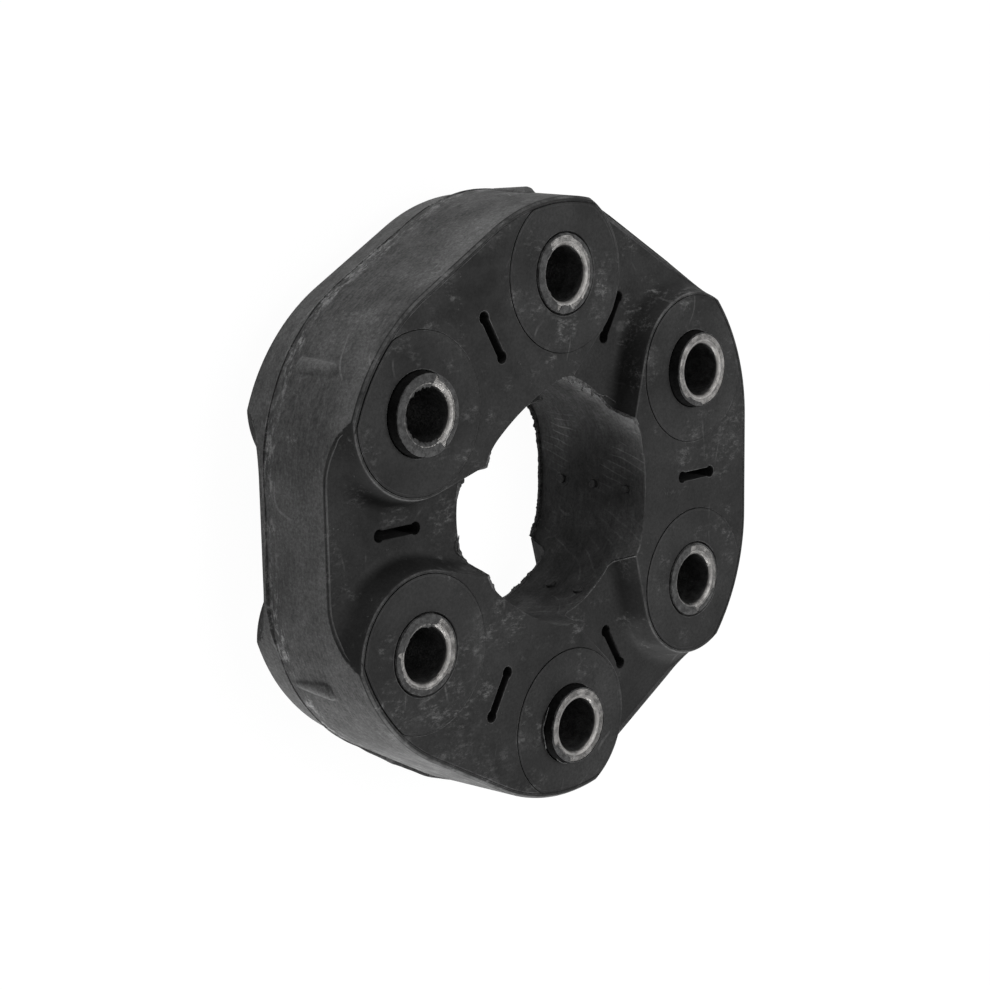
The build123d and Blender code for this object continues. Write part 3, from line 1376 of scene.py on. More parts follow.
class Shader:
    """Short way to add and join the nodes of a material, a group or the world."""

    def __init__(self, tree: Tree) -> None:
        """Work on a node tree."""
        self.tree = tree

    def add(self, kind: str, values: dict | None = None, **settings: object) -> bpy.types.Node:
        """Add a node.

        Args:
            kind: The node's type, less the words ShaderNode.
            values: Socket values or sockets to link, by input name or number.
            settings: Attributes of the node.

        Returns:
            The node.
        """
        node = self.tree.nodes.new(kind if kind.startswith("Node") else "ShaderNode" + kind)
        for name, value in settings.items():
            setattr(node, name, value)
        for key, value in (values or {}).items():
            if isinstance(value, Socket):
                self.tree.links.new(value, node.inputs[key])
            else:
                node.inputs[key].default_value = value
        return node

    def group(self, tree: Tree, **values: object) -> Sockets:
        """Place a shader group, and give its outputs."""
        return self.add("Group", values, node_tree=tree).outputs

    def maths(self, operation: str, *values: object) -> Socket:
        """Work numbers or sockets out.

        Args:
            operation: What is worked out.
            values: One or more numbers or sockets, taken in from left to right.

        Returns:
            The outcome.
        """
        first, *rest = values
        if not rest:
            return self.add("Math", {0: first}, operation=operation).outputs[0]
        for value in rest:
            first = self.add("Math", {0: first, 1: value}, operation=operation).outputs[0]
        return first

    def times(self, *values: object) -> Socket:
        """Multiply numbers or sockets."""
        return self.maths("MULTIPLY", *values)

    def gap(self, value: Socket, level: float) -> Socket:
        """Distance of a value from a level in millimetres."""
        return self.maths("ABSOLUTE", self.maths("SUBTRACT", value, level * MM))

    def measure(self, operation: str, *values: object) -> Socket:
        """Work a number out of vectors."""
        return self.add("VectorMath", dict(enumerate(values)), operation=operation).outputs["Value"]

    def scaled(self, vector: object, factor: object) -> Socket:
        """Multiply a vector or a colour by a number."""
        return self.add("VectorMath", {0: vector, "Scale": factor}, operation="SCALE").outputs[0]

    def part(self, vector: Socket, axis: int) -> Socket:
        """Take one coordinate of a vector."""
        return self.add("SeparateXYZ", {0: vector}).outputs[axis]

    def noise(self, vector: Socket, scale: float, detail: float = 4.0, rough: float = 0.55) -> Socket:
        """Add a noise, with its scale, its number of finer layers and their strength."""
        values = {"Vector": vector, "Scale": scale, "Detail": detail, "Roughness": rough}
        return self.add("TexNoise", values).outputs[0]

    def ramp(self, value: Socket, low: float, high: float, start: float = 0.0, end: float = 1.0) -> Socket:
        """Add a smooth step.

        Args:
            value: The input.
            low: Input where the output is start.
            high: Input where the output is end.
            start: The first output.
            end: The last output.

        Returns:
            The output.
        """
        values = {"Value": value, "From Min": low, "From Max": high, "To Min": start, "To Max": end}
        return self.add("MapRange", values, interpolation_type="SMOOTHSTEP").outputs[0]

    def span(self, value: Socket, low: float, high: float, start: float = 0.0, end: float = 1.0) -> Socket:
        """Add a smooth step whose input limits are in millimetres."""
        return self.ramp(value, low * MM, high * MM, start, end)

    def pattern(self, vector: Socket, pattern: Pattern) -> Socket:
        """Add a pattern of noise."""
        value = self.noise(vector, pattern.scale, pattern.detail, pattern.rough)
        return self.ramp(value, pattern.low, pattern.high, pattern.start, pattern.end)

    def near(self, where: Socket, smudge: Smudge, core: float) -> Socket:
        """Add a round patch.

        Args:
            where: Place on the disc.
            smudge: The patch.
            core: Share of its reach inside which it has its full strength.

        Returns:
            Its strength.
        """
        away = self.measure("DISTANCE", where, Vector(smudge.centre) * MM)
        return self.span(away, smudge.reach, core * smudge.reach, 0.0, smudge.strength)

    def drawn(self, vector: Socket, scale: Triple, turn: Triple = STILL, shift: Triple = STILL) -> Socket:
        """Scale, turn and shift a place, so that a pattern that is read there is drawn out."""
        values = {"Vector": vector, "Location": shift, "Rotation": turn, "Scale": scale}
        return self.add("Mapping", values).outputs[0]

    def mix(self, factor: object, first: object, second: object) -> Socket:
        """Mix two colours by the share of the second one."""
        return self.add("Mix", {0: factor, 6: first, 7: second}, data_type="RGBA").outputs[2]

    def wear_and_painted_light(self, colour: object, mask: Socket, share: float, level: float) -> Socket:
        """Mix a share of a grey into a colour where a mask is on."""
        return self.mix(self.times(mask, share), colour, grey(level))

    def surface(self, colour: Socket, rough: object, height: Socket, bump: Pair, **more: object) -> None:
        """End a material with a principled surface.

        Args:
            colour: Its colour.
            rough: Its roughness.
            height: Height of its fine relief.
            bump: The relief's strength, and its depth in millimetres.
            more: Values of other inputs.
        """
        strength, depth = bump
        relief = self.add("Bump", {"Strength": strength, "Distance": depth * MM, "Height": height})
        values = {"Base Color": colour, "Roughness": rough, "Normal": relief.outputs[0]}
        values |= {name.replace("_", " "): value for name, value in more.items()}
        self.add("OutputMaterial", {"Surface": self.add("BsdfPrincipled", values).outputs[0]})


def grey(level: float, warmth: float = 0.0) -> Colour:
    """Grey of a linear level, a little warmer where asked."""
    return (level * (1 + warmth), level, level * (1 - warmth), 1.0)


def emptied(owner: bpy.types.Material | bpy.types.World) -> Shader:
    """Shader for a material or a world that starts with no nodes.

    Args:
        owner: The material or the world.

    Returns:
        The shader.
    """
    owner.use_nodes = True
    owner.node_tree.nodes.clear()
    return Shader(owner.node_tree)


def new_group(name: str, inputs: dict, outputs: Sequence[str]) -> tuple[Tree, Shader, Sockets]:
    """Start a shader group whose outputs are numbers.

    Args:
        name: The group's name.
        inputs: Default of each number that goes in, and None for a vector.
        outputs: Names of the numbers that come out.

    Returns:
        The group, its shader and the sockets that hold its inputs.
    """
    group = bpy.data.node_groups.new(name, "ShaderNodeTree")
    for label, default in inputs.items():
        kind = "NodeSocketVector" if default is None else "NodeSocketFloat"
        socket = group.interface.new_socket(label, in_out="INPUT", socket_type=kind)
        if default is not None:
            socket.default_value = default
    for label in outputs:
        group.interface.new_socket(label, in_out="OUTPUT", socket_type="NodeSocketFloat")
    shader = Shader(group)
    return group, shader, shader.add("NodeGroupInput").outputs


@dataclass(frozen=True)
class RubberSkin:
    """Fine skin of moulded rubber, as a height: scale, detail, roughness and weight of each layer."""

    layers: tuple[tuple[float, ...], ...] = (
        (2600.0, 3.0, 0.6, 0.3),
        (420.0, 3.0, 0.5, 0.4),
        (90.0, 2.0, 0.5, 0.8),
    )

    def group(self) -> Tree:
        """Build the group.

        Returns:
            The group, with inputs Vector and Scale and the output Height.
        """
        group, shader, given = new_group("moulded_grain", {"Vector": None, "Scale": 1.0}, ["Height"])
        where = shader.scaled(given["Vector"], given["Scale"])
        heights = [shader.times(shader.noise(where, *layer), weight) for *layer, weight in self.layers]
        shader.add("NodeGroupOutput", {"Height": shader.maths("ADD", *heights)})
        return group


@dataclass(frozen=True)
class PaleScuffs:
    """Pale marks on rubber: smears, specks, scratches and a fine haze."""

    patches: Pattern = Pattern(85.0, 5.0, 0.65, 0.50, 0.66)
    streaks: Pattern = Pattern(850.0, 8.0, 0.8, 0.48, 0.66)
    dots: Pattern = Pattern(1100.0, 6.0, 0.75, 0.60, 0.72)
    clusters: Pattern = Pattern(130.0, 5.0, 0.7, 0.52, 0.66)
    scratched: Pattern = Pattern(95.0, 3.0, 0.6, 0.56, 0.68)

    def group(self) -> Tree:
        """Build the group.

        Returns:
            The group, with inputs Vector and Amount and the outputs Smear, Speck, Scratch and Haze.
        """
        labels = ("Smear", "Speck", "Scratch", "Haze")
        group, shader, given = new_group("pale_scuffs", {"Vector": None, "Amount": 0.5}, labels)
        where, amount = given["Vector"], given["Amount"]
        patches = shader.pattern(where, self.patches)
        streaks = shader.pattern(shader.drawn(where, (0.45, 1.0, 1.0), (0.0, 0.0, 0.5)), self.streaks)
        smear = shader.times(patches, streaks, amount)
        speck = shader.times(shader.pattern(where, self.dots), shader.pattern(where, self.clusters), amount)
        bent = shader.drawn(where, (1.0, 1.0, 1.0), (0.9, 0.2, 0.4))
        waves = {"Vector": bent, "Scale": 42.0, "Distortion": 22.0, "Detail": 2.0, "Detail Scale": 0.6}
        thin = shader.ramp(shader.add("TexWave", waves).outputs["Fac"], 0.985, 0.999)
        scratch = shader.times(thin, shader.pattern(where, self.scratched), amount)
        haze = shader.noise(where, 1500.0, 4.0, 0.75)
        shader.add("NodeGroupOutput", dict(zip(labels, (smear, speck, scratch, haze))))
        return group


@dataclass(frozen=True)
class DiscPlaces:
    """Masks that tell the parts of the rubber's surface apart."""

    form: DiscForm

    def group(self) -> Tree:
        """Build the group.

        Returns:
            The group, with inputs Vector and Normal and an output for each part of the surface.
        """
        labels = ("Rear", "Opening", "Rim", "Parting", "Wall", "Edge", "Mark", "Slope")
        group, shader, given = new_group("disc_places", {"Vector": None, "Normal": None}, labels)
        top, floor, seam = self.form.pad_height, self.form.valley_height, self.form.parting_height
        x, y, height = shader.add("SeparateXYZ", {0: given["Vector"]}).outputs
        flat = shader.add("CombineXYZ", {0: x, 1: y}).outputs[0]
        outwards = shader.add("VectorMath", {0: flat}, operation="NORMALIZE").outputs[0]
        facing = shader.measure("DOT_PRODUCT", outwards, given["Normal"])
        radius = shader.measure("LENGTH", flat)
        level = shader.maths("ABSOLUTE", height)
        upright = shader.maths("ABSOLUTE", shader.part(given["Normal"], 2))
        rear = shader.span(height, seam + 0.1, seam - 0.1)
        opening = shader.times(shader.ramp(facing, -0.70, -0.92), shader.span(radius, 34.0, 30.0))
        rim = shader.span(height, 4.0, top)
        parting = shader.span(shader.gap(height, seam + 0.8), 3.5, 0.8)
        below = shader.span(level, floor - 0.3, floor - 1.0)
        steep = shader.maths("MAXIMUM", shader.ramp(upright, 0.28, 0.12), below)
        wall = shader.times(steep, shader.span(radius, 51.5, 52.5))
        tilted = shader.times(shader.ramp(upright, 0.35, 0.6), shader.ramp(upright, 0.99, 0.94))
        outer = shader.maths("MAXIMUM", shader.span(radius, 31.0, 47.0), shader.span(x, 18.0, 26.0, 0.0, 0.7))
        edge = shader.times(tilted, shader.times(shader.span(level, top - 0.6, top - 0.45), outer))
        corner = self.form.parting.reach(30)
        draft = (corner - self.form.face.reach(30)) / (top - seam)
        over = shader.maths("ADD", radius, shader.times(shader.gap(height, seam), draft))
        mark = shader.span(over, corner + 0.12, corner + 0.5)
        leaning = shader.times(shader.ramp(upright, 0.95, 0.5), shader.ramp(upright, 0.2, 0.29))
        sunk = shader.span(level, top - 0.3, top - 0.9)
        slope = shader.times(leaning, sunk, shader.span(radius, 30.0, 34.0))
        masks = (rear, opening, rim, parting, wall, edge, mark, slope)
        shader.add("NodeGroupOutput", dict(zip(labels, masks)))
        return group


@dataclass(frozen=True)
class RubberFinish:
    """Finish of the moulded rubber."""

    name: str
    base: float = 0.022
    dark: float = 0.013
    wall: float = 0.053
    rear: float = 0.074
    # Grey of the opening's wall, set above the faces' grey as painted light in the shaded opening.
    opening: float = 0.048
    # Grey of the pads' pale edges: partly rubbed wear, partly painted highlight along the rounded edges.
    wear_and_painted_light: float = 0.085
    pale: float = 0.2
    scuffs: float = 0.65
    grain: float = 1.0
    bump: Pair = (0.35, 0.3)
    gloss: float = 0.12
    cloud: Pattern = Pattern(60.0, 5.0, 0.6, 0.35, 0.68)
    brushed: Pattern = Pattern(130.0, 6.0, 0.75, 0.3, 0.7)
    strokes: Pattern = Pattern(420.0, 7.0, 0.72, 0.34, 0.66, 0.74, 1.3)
    blotches: Pattern = Pattern(38.0, 5.0, 0.65, 0.47, 0.64)
    rim_rub_and_highlight: Pattern = Pattern(45.0, 5.0, 0.65, 0.42, 0.62)
    dust: Pattern = Pattern(260.0, 7.0, 0.8, 0.48, 0.60)
    dust_patches: Pattern = Pattern(55.0, 4.0, 0.6, 0.44, 0.58)
    grit: Pattern = Pattern(1900.0, 4.0, 0.7, 0.3, 0.7, 0.82, 1.2)
    edge_wear_and_highlight: Pattern = Pattern(160.0, 5.0, 0.65, 0.34, 0.62, 0.1, 0.9)
    sweep_patches: Pattern = Pattern(75.0, 4.0, 0.6, 0.48, 0.66)
    cast: Pattern = Pattern(300.0, 7.0, 0.75, 0.36, 0.64, 0.84, 1.18)
    streaks: Pattern = Pattern(800.0, 8.0, 0.8, 0.48, 0.64)
    islands: Pattern = Pattern(150.0, 6.0, 0.7, 0.40, 0.60, 0.15, 1.0)
    roughness: Pattern = Pattern(240.0, 4.0, 0.6, 0.3, 0.7, 0.6, 0.8)
    smudges_and_painted_light: tuple[Smudge, ...] = (
        Smudge((12.2, 46.5, 17.0), 5.0, 1.0),
        Smudge((11.0, 41.0, 17.0), 4.5, 1.0),
        Smudge((13.5, 51.5, 17.0), 3.0, 0.7),
        Smudge((-15.5, 46.0, 17.0), 3.0, 0.7),
        Smudge((28.5, 29.0, 17.0), 3.5, 0.7),
        Smudge((31.0, 12.5, 17.0), 3.0, 0.7),
        Smudge((44.0, 9.0, 17.0), 2.5, 0.5),
        Smudge((56.0, -22.0, 17.0), 3.5, 0.6),
        Smudge((40.0, -38.0, 17.0), 3.0, 0.6),
        Smudge((-30.0, 24.0, 17.0), 4.0, 0.45),
        Smudge((-28.5, -21.0, 17.0), 5.0, 0.6),
        Smudge((-15.0, -50.0, 17.0), 3.5, 0.5),
        # The side-wall patches from here to (-34, -56, 3) are pale streaks that also brighten the upper-left
        # and lower wall as painted light.
        Smudge((-38.0, 55.0, 13.0), 9.0, 0.9),
        Smudge((-24.0, 61.0, 13.0), 8.0, 0.8),
        Smudge((-50.0, 42.0, 10.0), 9.0, 0.8),
        Smudge((-58.0, 30.0, -2.0), 8.0, 0.5),
        Smudge((-52.0, -40.0, 12.0), 9.0, 0.7),
        Smudge((-40.0, -52.0, 10.0), 9.0, 0.7),
        Smudge((-34.0, -56.0, 3.0), 24.0, 0.95),
        Smudge((-6.0, 30.0, 10.0), 6.0, 0.35),
        Smudge((27.0, -8.0, 5.0), 10.0, 0.4),
    )
    # Darker patches: the first darkens part of the A–F pad; the second is painted shade on the F–E valley
    # floor.
    shades: tuple[Smudge, ...] = (
        Smudge((-28.0, 48.0, 17.0), 13.0, 0.7),
        Smudge((-46.0, 4.0, 10.0), 12.0, 0.5),
    )

    def face_colour(self, shader: Shader, where: Socket, places: Sockets) -> Socket:
        """Colour of the pads and valleys: cloudy, with painted shade on the slopes and on the F–E valley
        floor, and a darker patch on the A–F pad.

        Args:
            shader: The material's nodes.
            where: Place on the disc.
            places: Masks of the parts of the surface.

        Returns:
            The colour.
        """
        colour = shader.mix(shader.pattern(where, self.cloud), grey(self.dark), grey(self.base))
        # painted shade: the slopes of the valleys are darkened in colour
        colour = shader.wear_and_painted_light(colour, places["Slope"], 0.6, self.dark * 0.45)
        # darker patches, among them painted shade on the F–E valley floor
        for shade in self.shades:
            colour = shader.mix(shader.near(where, shade, 0.3), colour, grey(self.dark * 0.5))
        return colour

    def wall_colour(self, shader: Shader, where: Socket, places: Sockets, *layers: Socket) -> Socket:
        """Colour of the side wall: brushed; paler at the rim, partly rubbed and partly painted highlight;
        paler on the marks as painted highlight; and dusty at the parting line.

        Args:
            shader: The material's nodes.
            where: Place on the disc.
            places: Masks of the parts of the surface.
            layers: The place drawn out for strokes, and the blotches.

        Returns:
            The colour.
        """
        dragged, blotch = layers
        drawn = shader.drawn(where, (1.0, 1.0, 3.0))
        brushed = shader.pattern(drawn, self.brushed)
        wall = shader.mix(brushed, grey(self.wall * 0.8), grey(self.wall * 1.18))
        wall = shader.scaled(wall, shader.pattern(dragged, self.strokes))
        wall = shader.wear_and_painted_light(wall, blotch, 0.5, self.wall * 1.8)
        # paler towards the front rim: partly rubbed marks, partly painted highlight
        rim = shader.times(places["Rim"], shader.pattern(where, self.rim_rub_and_highlight))
        wall = shader.wear_and_painted_light(wall, rim, 0.7, self.wall * 2.2)
        rear = shader.mix(brushed, grey(self.rear * 0.75), grey(self.rear * 1.2))
        wall = shader.mix(places["Rear"], wall, rear)
        dust = shader.times(shader.pattern(drawn, self.dust), shader.pattern(where, self.dust_patches))
        wall = shader.wear_and_painted_light(wall, shader.times(dust, places["Parting"]), 0.8, self.pale * 1.2)
        # painted highlight: the raised direction marks are painted paler
        wall = shader.wear_and_painted_light(wall, places["Mark"], 0.7, self.wall * 1.9)
        return shader.scaled(wall, shader.pattern(where, self.grit))

    def opening_colour(self, shader: Shader, where: Socket, dragged: Socket, blotch: Socket) -> Socket:
        """Colour of the opening's wall: painted light that makes it lighter towards +Y, with fine curved
        sweeps.

        Args:
            shader: The material's nodes.
            where: Place on the disc.
            dragged: The place drawn out for strokes.
            blotch: The blotches.

        Returns:
            The colour.
        """
        hollow = shader.mix(blotch, grey(self.opening * 0.75), grey(self.opening * 1.5))
        # painted light: the opening's wall grows lighter towards +Y
        painted_light_lift = shader.span(shader.part(where, 1), 0.0, 20.0, 1.15, 4.2)
        turned = shader.drawn(where, (1.0, 1.0, 0.7), shift=(-0.05, 0.085, 0.03))
        waves = {"Vector": turned, "Scale": 170.0, "Distortion": 9.0, "Detail": 3.0, "Detail Scale": 0.35}
        sweeps = shader.add("TexWave", waves, wave_type="RINGS", rings_direction="SPHERICAL").outputs["Fac"]
        swept = shader.times(shader.ramp(sweeps, 0.9, 0.995), shader.pattern(where, self.sweep_patches))
        hollow = shader.wear_and_painted_light(hollow, swept, 0.6, self.pale * 0.7)
        return shader.scaled(hollow, shader.times(painted_light_lift, shader.pattern(dragged, self.cast)))

    def smears(self, shader: Shader, where: Socket, smear: Socket) -> Socket:
        """Strength of the pale smears, with the patches at known places: rubbed smears, and on the side wall
        pale streaks that are also painted light.

        Args:
            shader: The material's nodes.
            where: Place on the disc.
            smear: Strength of the smears that lie anywhere.

        Returns:
            The strength.
        """
        streaks = shader.pattern(shader.drawn(where, (0.45, 1.0, 1.0), (0.0, 0.0, 0.6)), self.streaks)
        islands = shader.pattern(where, self.islands)
        streaks = shader.maths("ADD", shader.times(streaks, islands), shader.times(islands, 0.16))
        for smudge in self.smudges_and_painted_light:
            smear = shader.maths("MAXIMUM", smear, shader.times(shader.near(where, smudge, 0.25), streaks))
        return smear

    def material(self, grain: Tree, scuffs: Tree, places: Tree) -> bpy.types.Material:
        """Build the material.

        Args:
            grain: The group that gives the skin's height.
            scuffs: The group of pale marks.
            places: The group of masks.

        Returns:
            The material.
        """
        material = bpy.data.materials.new(self.name)
        shader = emptied(material)
        coordinates = shader.add("TexCoord").outputs
        where = coordinates["Object"]
        skin = shader.group(grain, Vector=where, Scale=self.grain)["Height"]
        rub = shader.group(scuffs, Vector=where, Amount=self.scuffs)
        place = shader.group(places, Vector=where, Normal=coordinates["Normal"])
        dragged = shader.drawn(where, (1.0, 1.0, 4.5), (0.15, 0.1, 0.0))
        blotch = shader.pattern(where, self.blotches)
        colour = self.face_colour(shader, where, place)
        colour = shader.mix(place["Wall"], colour, self.wall_colour(shader, where, place, dragged, blotch))
        # paler pad edges: partly rubbed wear, partly painted highlight on the rounded edges
        pale_edge_and_highlight = shader.times(shader.pattern(where, self.edge_wear_and_highlight), place["Edge"])
        colour = shader.mix(pale_edge_and_highlight, colour, grey(self.wear_and_painted_light))
        colour = shader.mix(place["Opening"], colour, self.opening_colour(shader, where, dragged, blotch))
        smear = shader.times(rub["Smear"], shader.ramp(place["Opening"], 0.0, 1.0, 1.0, 0.2))
        colour = shader.wear_and_painted_light(colour, self.smears(shader, where, smear), 0.7, self.pale)
        drag = shader.ramp(shader.maths("MAXIMUM", place["Opening"], place["Wall"]), 0.0, 1.0, 0.25, 0.55)
        colour = shader.mix(shader.times(rub["Scratch"], drag), colour, grey(self.pale))
        dots = shader.times(rub["Speck"], shader.ramp(place["Rear"], 0.0, 1.0, 0.8, 1.25))
        colour = shader.mix(dots, colour, grey(self.pale))
        colour = shader.scaled(colour, shader.ramp(rub["Haze"], 0.3, 0.7, 0.74, 1.3))
        rough = shader.pattern(where, self.roughness)
        shader.surface(colour, rough, skin, self.bump, Specular_IOR_Level=self.gloss)
        return material


@dataclass(frozen=True)
class FilmFinish:
    """Finish of the thin, glossier rubber of films, skirts and flash."""

    name: str
    light: float
    dark: float
    roughness: float = 0.5
    gloss: float = 0.15
    grain: float = 1.4
    bump: Pair = (0.8, 0.5)
    mottle: Pattern = Pattern(800.0, 7.0, 0.75, 0.40, 0.62)

    def material(self, grain: Tree) -> bpy.types.Material:
        """Build the material.

        Args:
            grain: The group that gives the skin's height.

        Returns:
            The material.
        """
        material = bpy.data.materials.new(self.name)
        shader = emptied(material)
        where = shader.add("TexCoord").outputs["Object"]
        skin = shader.group(grain, Vector=where, Scale=self.grain)["Height"]
        colour = shader.mix(shader.pattern(where, self.mottle), grey(self.dark), grey(self.light))
        shader.surface(colour, self.roughness, skin, self.bump, Specular_IOR_Level=self.gloss)
        return material


@dataclass(frozen=True)
class SteelFinish:
    """Finish of a turned steel sleeve: fine turning lines, a bore edge brightened partly as painted glint,
    and a bore darkened as painted shade.
    """

    name: str
    side: Side
    middle: float = 1.1
    half_length: float = 18.2
    edge_radius: float = 6.8
    bright: float = 0.15
    dull: float = 0.08
    edge: float = 0.19
    # Near-black of the painted shade in the bore; three times it gives the stains' grey.
    black: float = 0.055
    warmth: float = 0.03
    gloss: float = 0.15
    bump: Pair = (0.5, 0.3)
    cloud: Pattern = Pattern(420.0, 7.0, 0.75, 0.40, 0.62)
    edge_wear_and_highlight: Pattern = Pattern(180.0, 3.0, 0.6, 0.3, 0.6)
    stain: Pattern = Pattern(1000.0, 7.0, 0.85, 0.53, 0.62)
    painted_bore_shade: Pattern = Pattern(500.0, 6.0, 0.75, 0.35, 0.65)
    roughness: Pattern = Pattern(1100.0, 4.0, 0.6, 0.3, 0.7, 0.34, 0.55)

    def material(self) -> bpy.types.Material:
        """Build the material, which reads each point's distance from the sleeve's axis from the mesh.

        Returns:
            The material.
        """
        material = bpy.data.materials.new(self.name)
        shader = emptied(material)
        where = shader.add("TexCoord").outputs["Object"]
        radius = shader.add("Attribute", attribute_name="turned_radius").outputs["Fac"]
        cloud = shader.pattern(where, self.cloud)
        colour = shader.mix(cloud, grey(self.dull * 0.8, self.warmth), grey(self.bright * 1.15, self.warmth))
        turning = {"W": radius, "Scale": 3.2, "Detail": 4.0, "Roughness": 0.7}
        lines = shader.add("TexNoise", noise_dimensions="1D", values=turning).outputs[0]
        colour = shader.scaled(colour, shader.ramp(lines, 0.32, 0.68, 0.62, 1.35))
        # brighter bore edge: partly worn bright steel, partly painted glint
        edge = shader.ramp(radius, self.edge_radius + 0.12, self.edge_radius - 0.05)
        pale_edge_and_highlight = shader.times(edge, shader.pattern(where, self.edge_wear_and_highlight))
        colour = shader.mix(pale_edge_and_highlight, colour, grey(self.edge, self.warmth))
        stain = shader.pattern(where, self.stain)
        colour = shader.mix(stain, colour, grey(self.black * 3))
        depth = shader.gap(shader.part(where, 2), self.middle * self.side.value)
        # painted shade: the bore beyond its ends is coloured near-black and not metallic
        inside = shader.span(depth, self.half_length - 0.55, self.half_length - 1.1)
        painted_bore_shade = shader.mix(shader.pattern(where, self.painted_bore_shade), grey(self.black * 0.5), grey(self.black * 1.5))
        colour = shader.mix(inside, colour, painted_bore_shade)
        metal = shader.times(shader.ramp(stain, 0.0, 1.0, 1.0, 0.1), shader.ramp(inside, 0.0, 1.0, 1.0, 0.0))
        grooves = shader.maths("ADD", shader.times(lines, 0.7), shader.noise(where, 1900.0, 4.0, 0.6))
        rough = shader.pattern(where, self.roughness)
        shader.surface(colour, rough, grooves, self.bump, Metallic=metal, Specular_IOR_Level=self.gloss)
        return material


@dataclass(frozen=True)
class CordFinish:
    """Finish of the cord loops inside the rubber."""

    name: str
    light: float = 0.42
    shade: float = 0.16
    warmth: float = 0.2
    roughness: float = 0.8
    bump: Pair = (0.6, 0.4)

    def material(self) -> bpy.types.Material:
        """Build the material: strands laid one over another along the loop.

        Returns:
            The material.
        """
        material = bpy.data.materials.new(self.name)
        shader = emptied(material)
        where = shader.add("TexCoord").outputs["Object"]
        waves = {"Vector": where, "Scale": 240.0, "Distortion": 1.2, "Detail": 3.0}
        strands = shader.add("TexWave", waves, bands_direction="Z").outputs["Fac"]
        colour = shader.mix(strands, grey(self.shade, self.warmth), grey(self.light, self.warmth))
        shader.surface(colour, self.roughness, strands, self.bump)
        return material


@dataclass(frozen=True)
class Lamp:
    """A soft square lamp that points at the disc, placed in metres."""

    name: str
    place: Triple
    size: float
    power: float

    def build(self) -> None:
        """Add the lamp to the scene."""
        light = bpy.data.lights.new(self.name, "AREA")
        light.shape = "SQUARE"
        light.size = self.size
        light.energy = self.power
        lamp = bpy.data.objects.new(self.name, light)
        bpy.context.scene.collection.objects.link(lamp)
        lamp.location = self.place
        lamp.rotation_euler = (-Vector(self.place)).to_track_quat("-Z", "Y").to_euler()


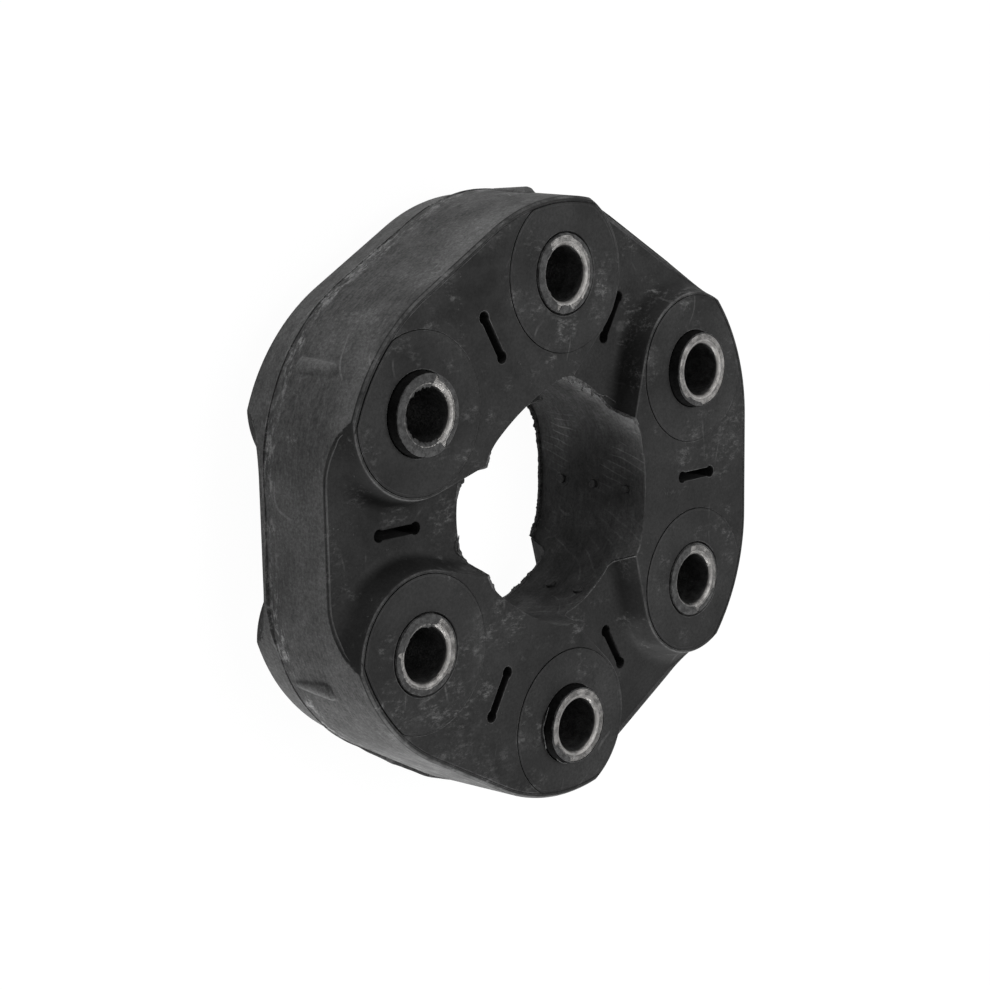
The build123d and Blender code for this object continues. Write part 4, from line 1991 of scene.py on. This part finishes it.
@dataclass
class Studio:
    """Floor, backdrop, lamps and camera. Its lamps, camera and floor size are in metres."""

    floor_height: float = -19.3
    floor_size: float = 6.0
    floor_grey: float = 0.8
    camera_floor_grey: float = 0.05
    camera_glow: float = 0.97
    world_strength: float = 0.12
    camera_place: Triple = (-0.309668, 0.085550, 0.303307)
    camera_right: Triple = (0.70362, -0.01809, 0.71034)
    camera_up: Triple = (0.15042, 0.98081, -0.12401)
    camera_lens: float = 71.67
    camera_sensor: float = 36.0
    camera_reach: Pair = (0.01, 20.0)
    seen_rays: tuple[str, ...] = ("Camera", "Glossy", "Transmission")
    lamps: tuple[Lamp, ...] = (
        Lamp("top_lamp", (-0.3, 0.8, -0.01), 0.35, 5.5),
        Lamp("low_lamp", (-0.1, -0.87, 0.0), 0.35, 19.5),
        Lamp("overhead_lamp", (0.25, 0.08, 0.85), 0.5, 6.5),
    )

    def see_white(self, shader: Shader) -> Socket:
        """Mask that is 1 for the camera, mirror and glass rays that see the background itself."""
        path = shader.add("LightPath").outputs
        return shader.maths("MAXIMUM", *(path[f"Is {kind} Ray"] for kind in self.seen_rays))

    def floor(self) -> None:
        """Pale floor that the disc lies on, which shows white where it isn't shaded."""
        pick()
        bpy.ops.mesh.primitive_plane_add(size=self.floor_size, location=(0, 0, self.floor_height * MM))
        floor = bpy.context.object
        floor.name = "studio_floor"
        material = bpy.data.materials.new("studio_floor")
        shader = emptied(material)
        white = self.see_white(shader)
        pale, shown = (
            shader.add("BsdfDiffuse", {"Color": grey(level)}).outputs[0]
            for level in (self.floor_grey, self.camera_floor_grey)
        )
        glow = shader.add("Emission", {"Color": grey(1.0), "Strength": self.camera_glow})
        lit = shader.add("AddShader", {0: shown, 1: glow.outputs[0]})
        both = shader.add("MixShader", {0: white, 1: pale, 2: lit.outputs[0]})
        shader.add("OutputMaterial", {"Surface": both.outputs[0]})
        dress(floor, material)

    def world(self) -> None:
        """White surroundings that light the disc softly."""
        world = bpy.data.worlds.new("studio")
        bpy.context.scene.world = world
        shader = emptied(world)
        seen = shader.times(self.see_white(shader), 1.0 - self.world_strength)
        strength = shader.maths("ADD", seen, self.world_strength)
        back = shader.add("Background", {"Color": grey(1.0), "Strength": strength})
        shader.add("OutputWorld", {"Surface": back.outputs[0]})

    def camera(self) -> None:
        """Camera at the photograph's viewing angle."""
        data = bpy.data.cameras.new("photo_camera")
        data.lens = self.camera_lens
        data.sensor_width = self.camera_sensor
        data.clip_start, data.clip_end = self.camera_reach
        camera = bpy.data.objects.new("photo_camera", data)
        bpy.context.scene.collection.objects.link(camera)
        right, up = Vector(self.camera_right), Vector(self.camera_up)
        turn = Matrix((right, up, right.cross(up))).transposed()
        camera.matrix_world = Matrix.Translation(self.camera_place) @ turn.to_4x4()
        bpy.context.scene.camera = camera

    def build(self) -> None:
        """Set the studio up."""
        self.floor()
        self.world()
        for lamp in self.lamps:
            lamp.build()
        self.camera()
        bpy.context.scene.view_settings.view_transform = "Standard"


def main() -> None:
    """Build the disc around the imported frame, dress it and set up the studio."""
    logging.basicConfig(level=logging.INFO, format="%(name)s %(message)s")
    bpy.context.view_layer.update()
    form = DiscForm()
    groups = RubberSkin().group(), PaleScuffs().group(), DiscPlaces(form).group()
    rubber = RubberFinish("moulded_rubber").material(*groups)
    collar_rubber = RubberFinish("collar_rubber", base=0.03, scuffs=0.75).material(*groups)
    lip_rubber = RubberFinish("lip_rubber", base=0.07, dark=0.03, wall=0.06).material(*groups)
    film = FilmFinish("rubber_film", light=0.062, dark=0.018).material(groups[0])
    flash = FilmFinish("mould_flash", light=0.1, dark=0.02).material(groups[0])
    # The long ends' skirts are near-black: partly the rubber that covers them, partly painted shade round the
    # sleeves.
    skirt = FilmFinish("rubber_skirt_painted_shade", light=0.008, dark=0.004, roughness=0.9, gloss=0.02).material(groups[0])
    steel = {side: SteelFinish(f"turned_steel_{side.word}", side).material() for side in Side}
    cord = CordFinish("wound_cord").material()

    body = RubberBody(form)
    add_to_disc(body.build(), Slot.RUBBER, rubber, "rubber_body")
    parting, lips, opening = MouldFlash(form).build()
    add_to_disc(parting, Slot.RUBBER, rubber)
    add_to_disc(lips, Slot.RUBBER, lip_rubber)
    add_to_disc(opening, Slot.RUBBER, flash)
    add_to_disc(OpeningPips(form).build(), Slot.RUBBER, rubber)
    collars = GuideCollars(form, body)
    sleeves = BoltSleeves(form)
    residue = SleeveRubber(form)
    for index, name in enumerate(form.sleeve_names):
        for side in Side:
            node = f"collar_{side.word}_{name}"
            add_to_disc(collars.collar(index, side), Slot.COLLAR, collar_rubber, node)
            long_end = form.sleeve_side(index) is side
            add_to_disc(residue.skirt(index, side), Slot.RUBBER, skirt if long_end else film)
        add_to_disc(sleeves.sleeve(index), Slot.STEEL, steel[form.sleeve_side(index)], f"sleeve_{name}")
        add_to_disc(residue.film(index), Slot.RUBBER, film)
    for name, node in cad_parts.items():
        if name.startswith("cord_loop"):
            dress(node, cord)

    Studio().build()


if __name__ == "__main__":
    main()
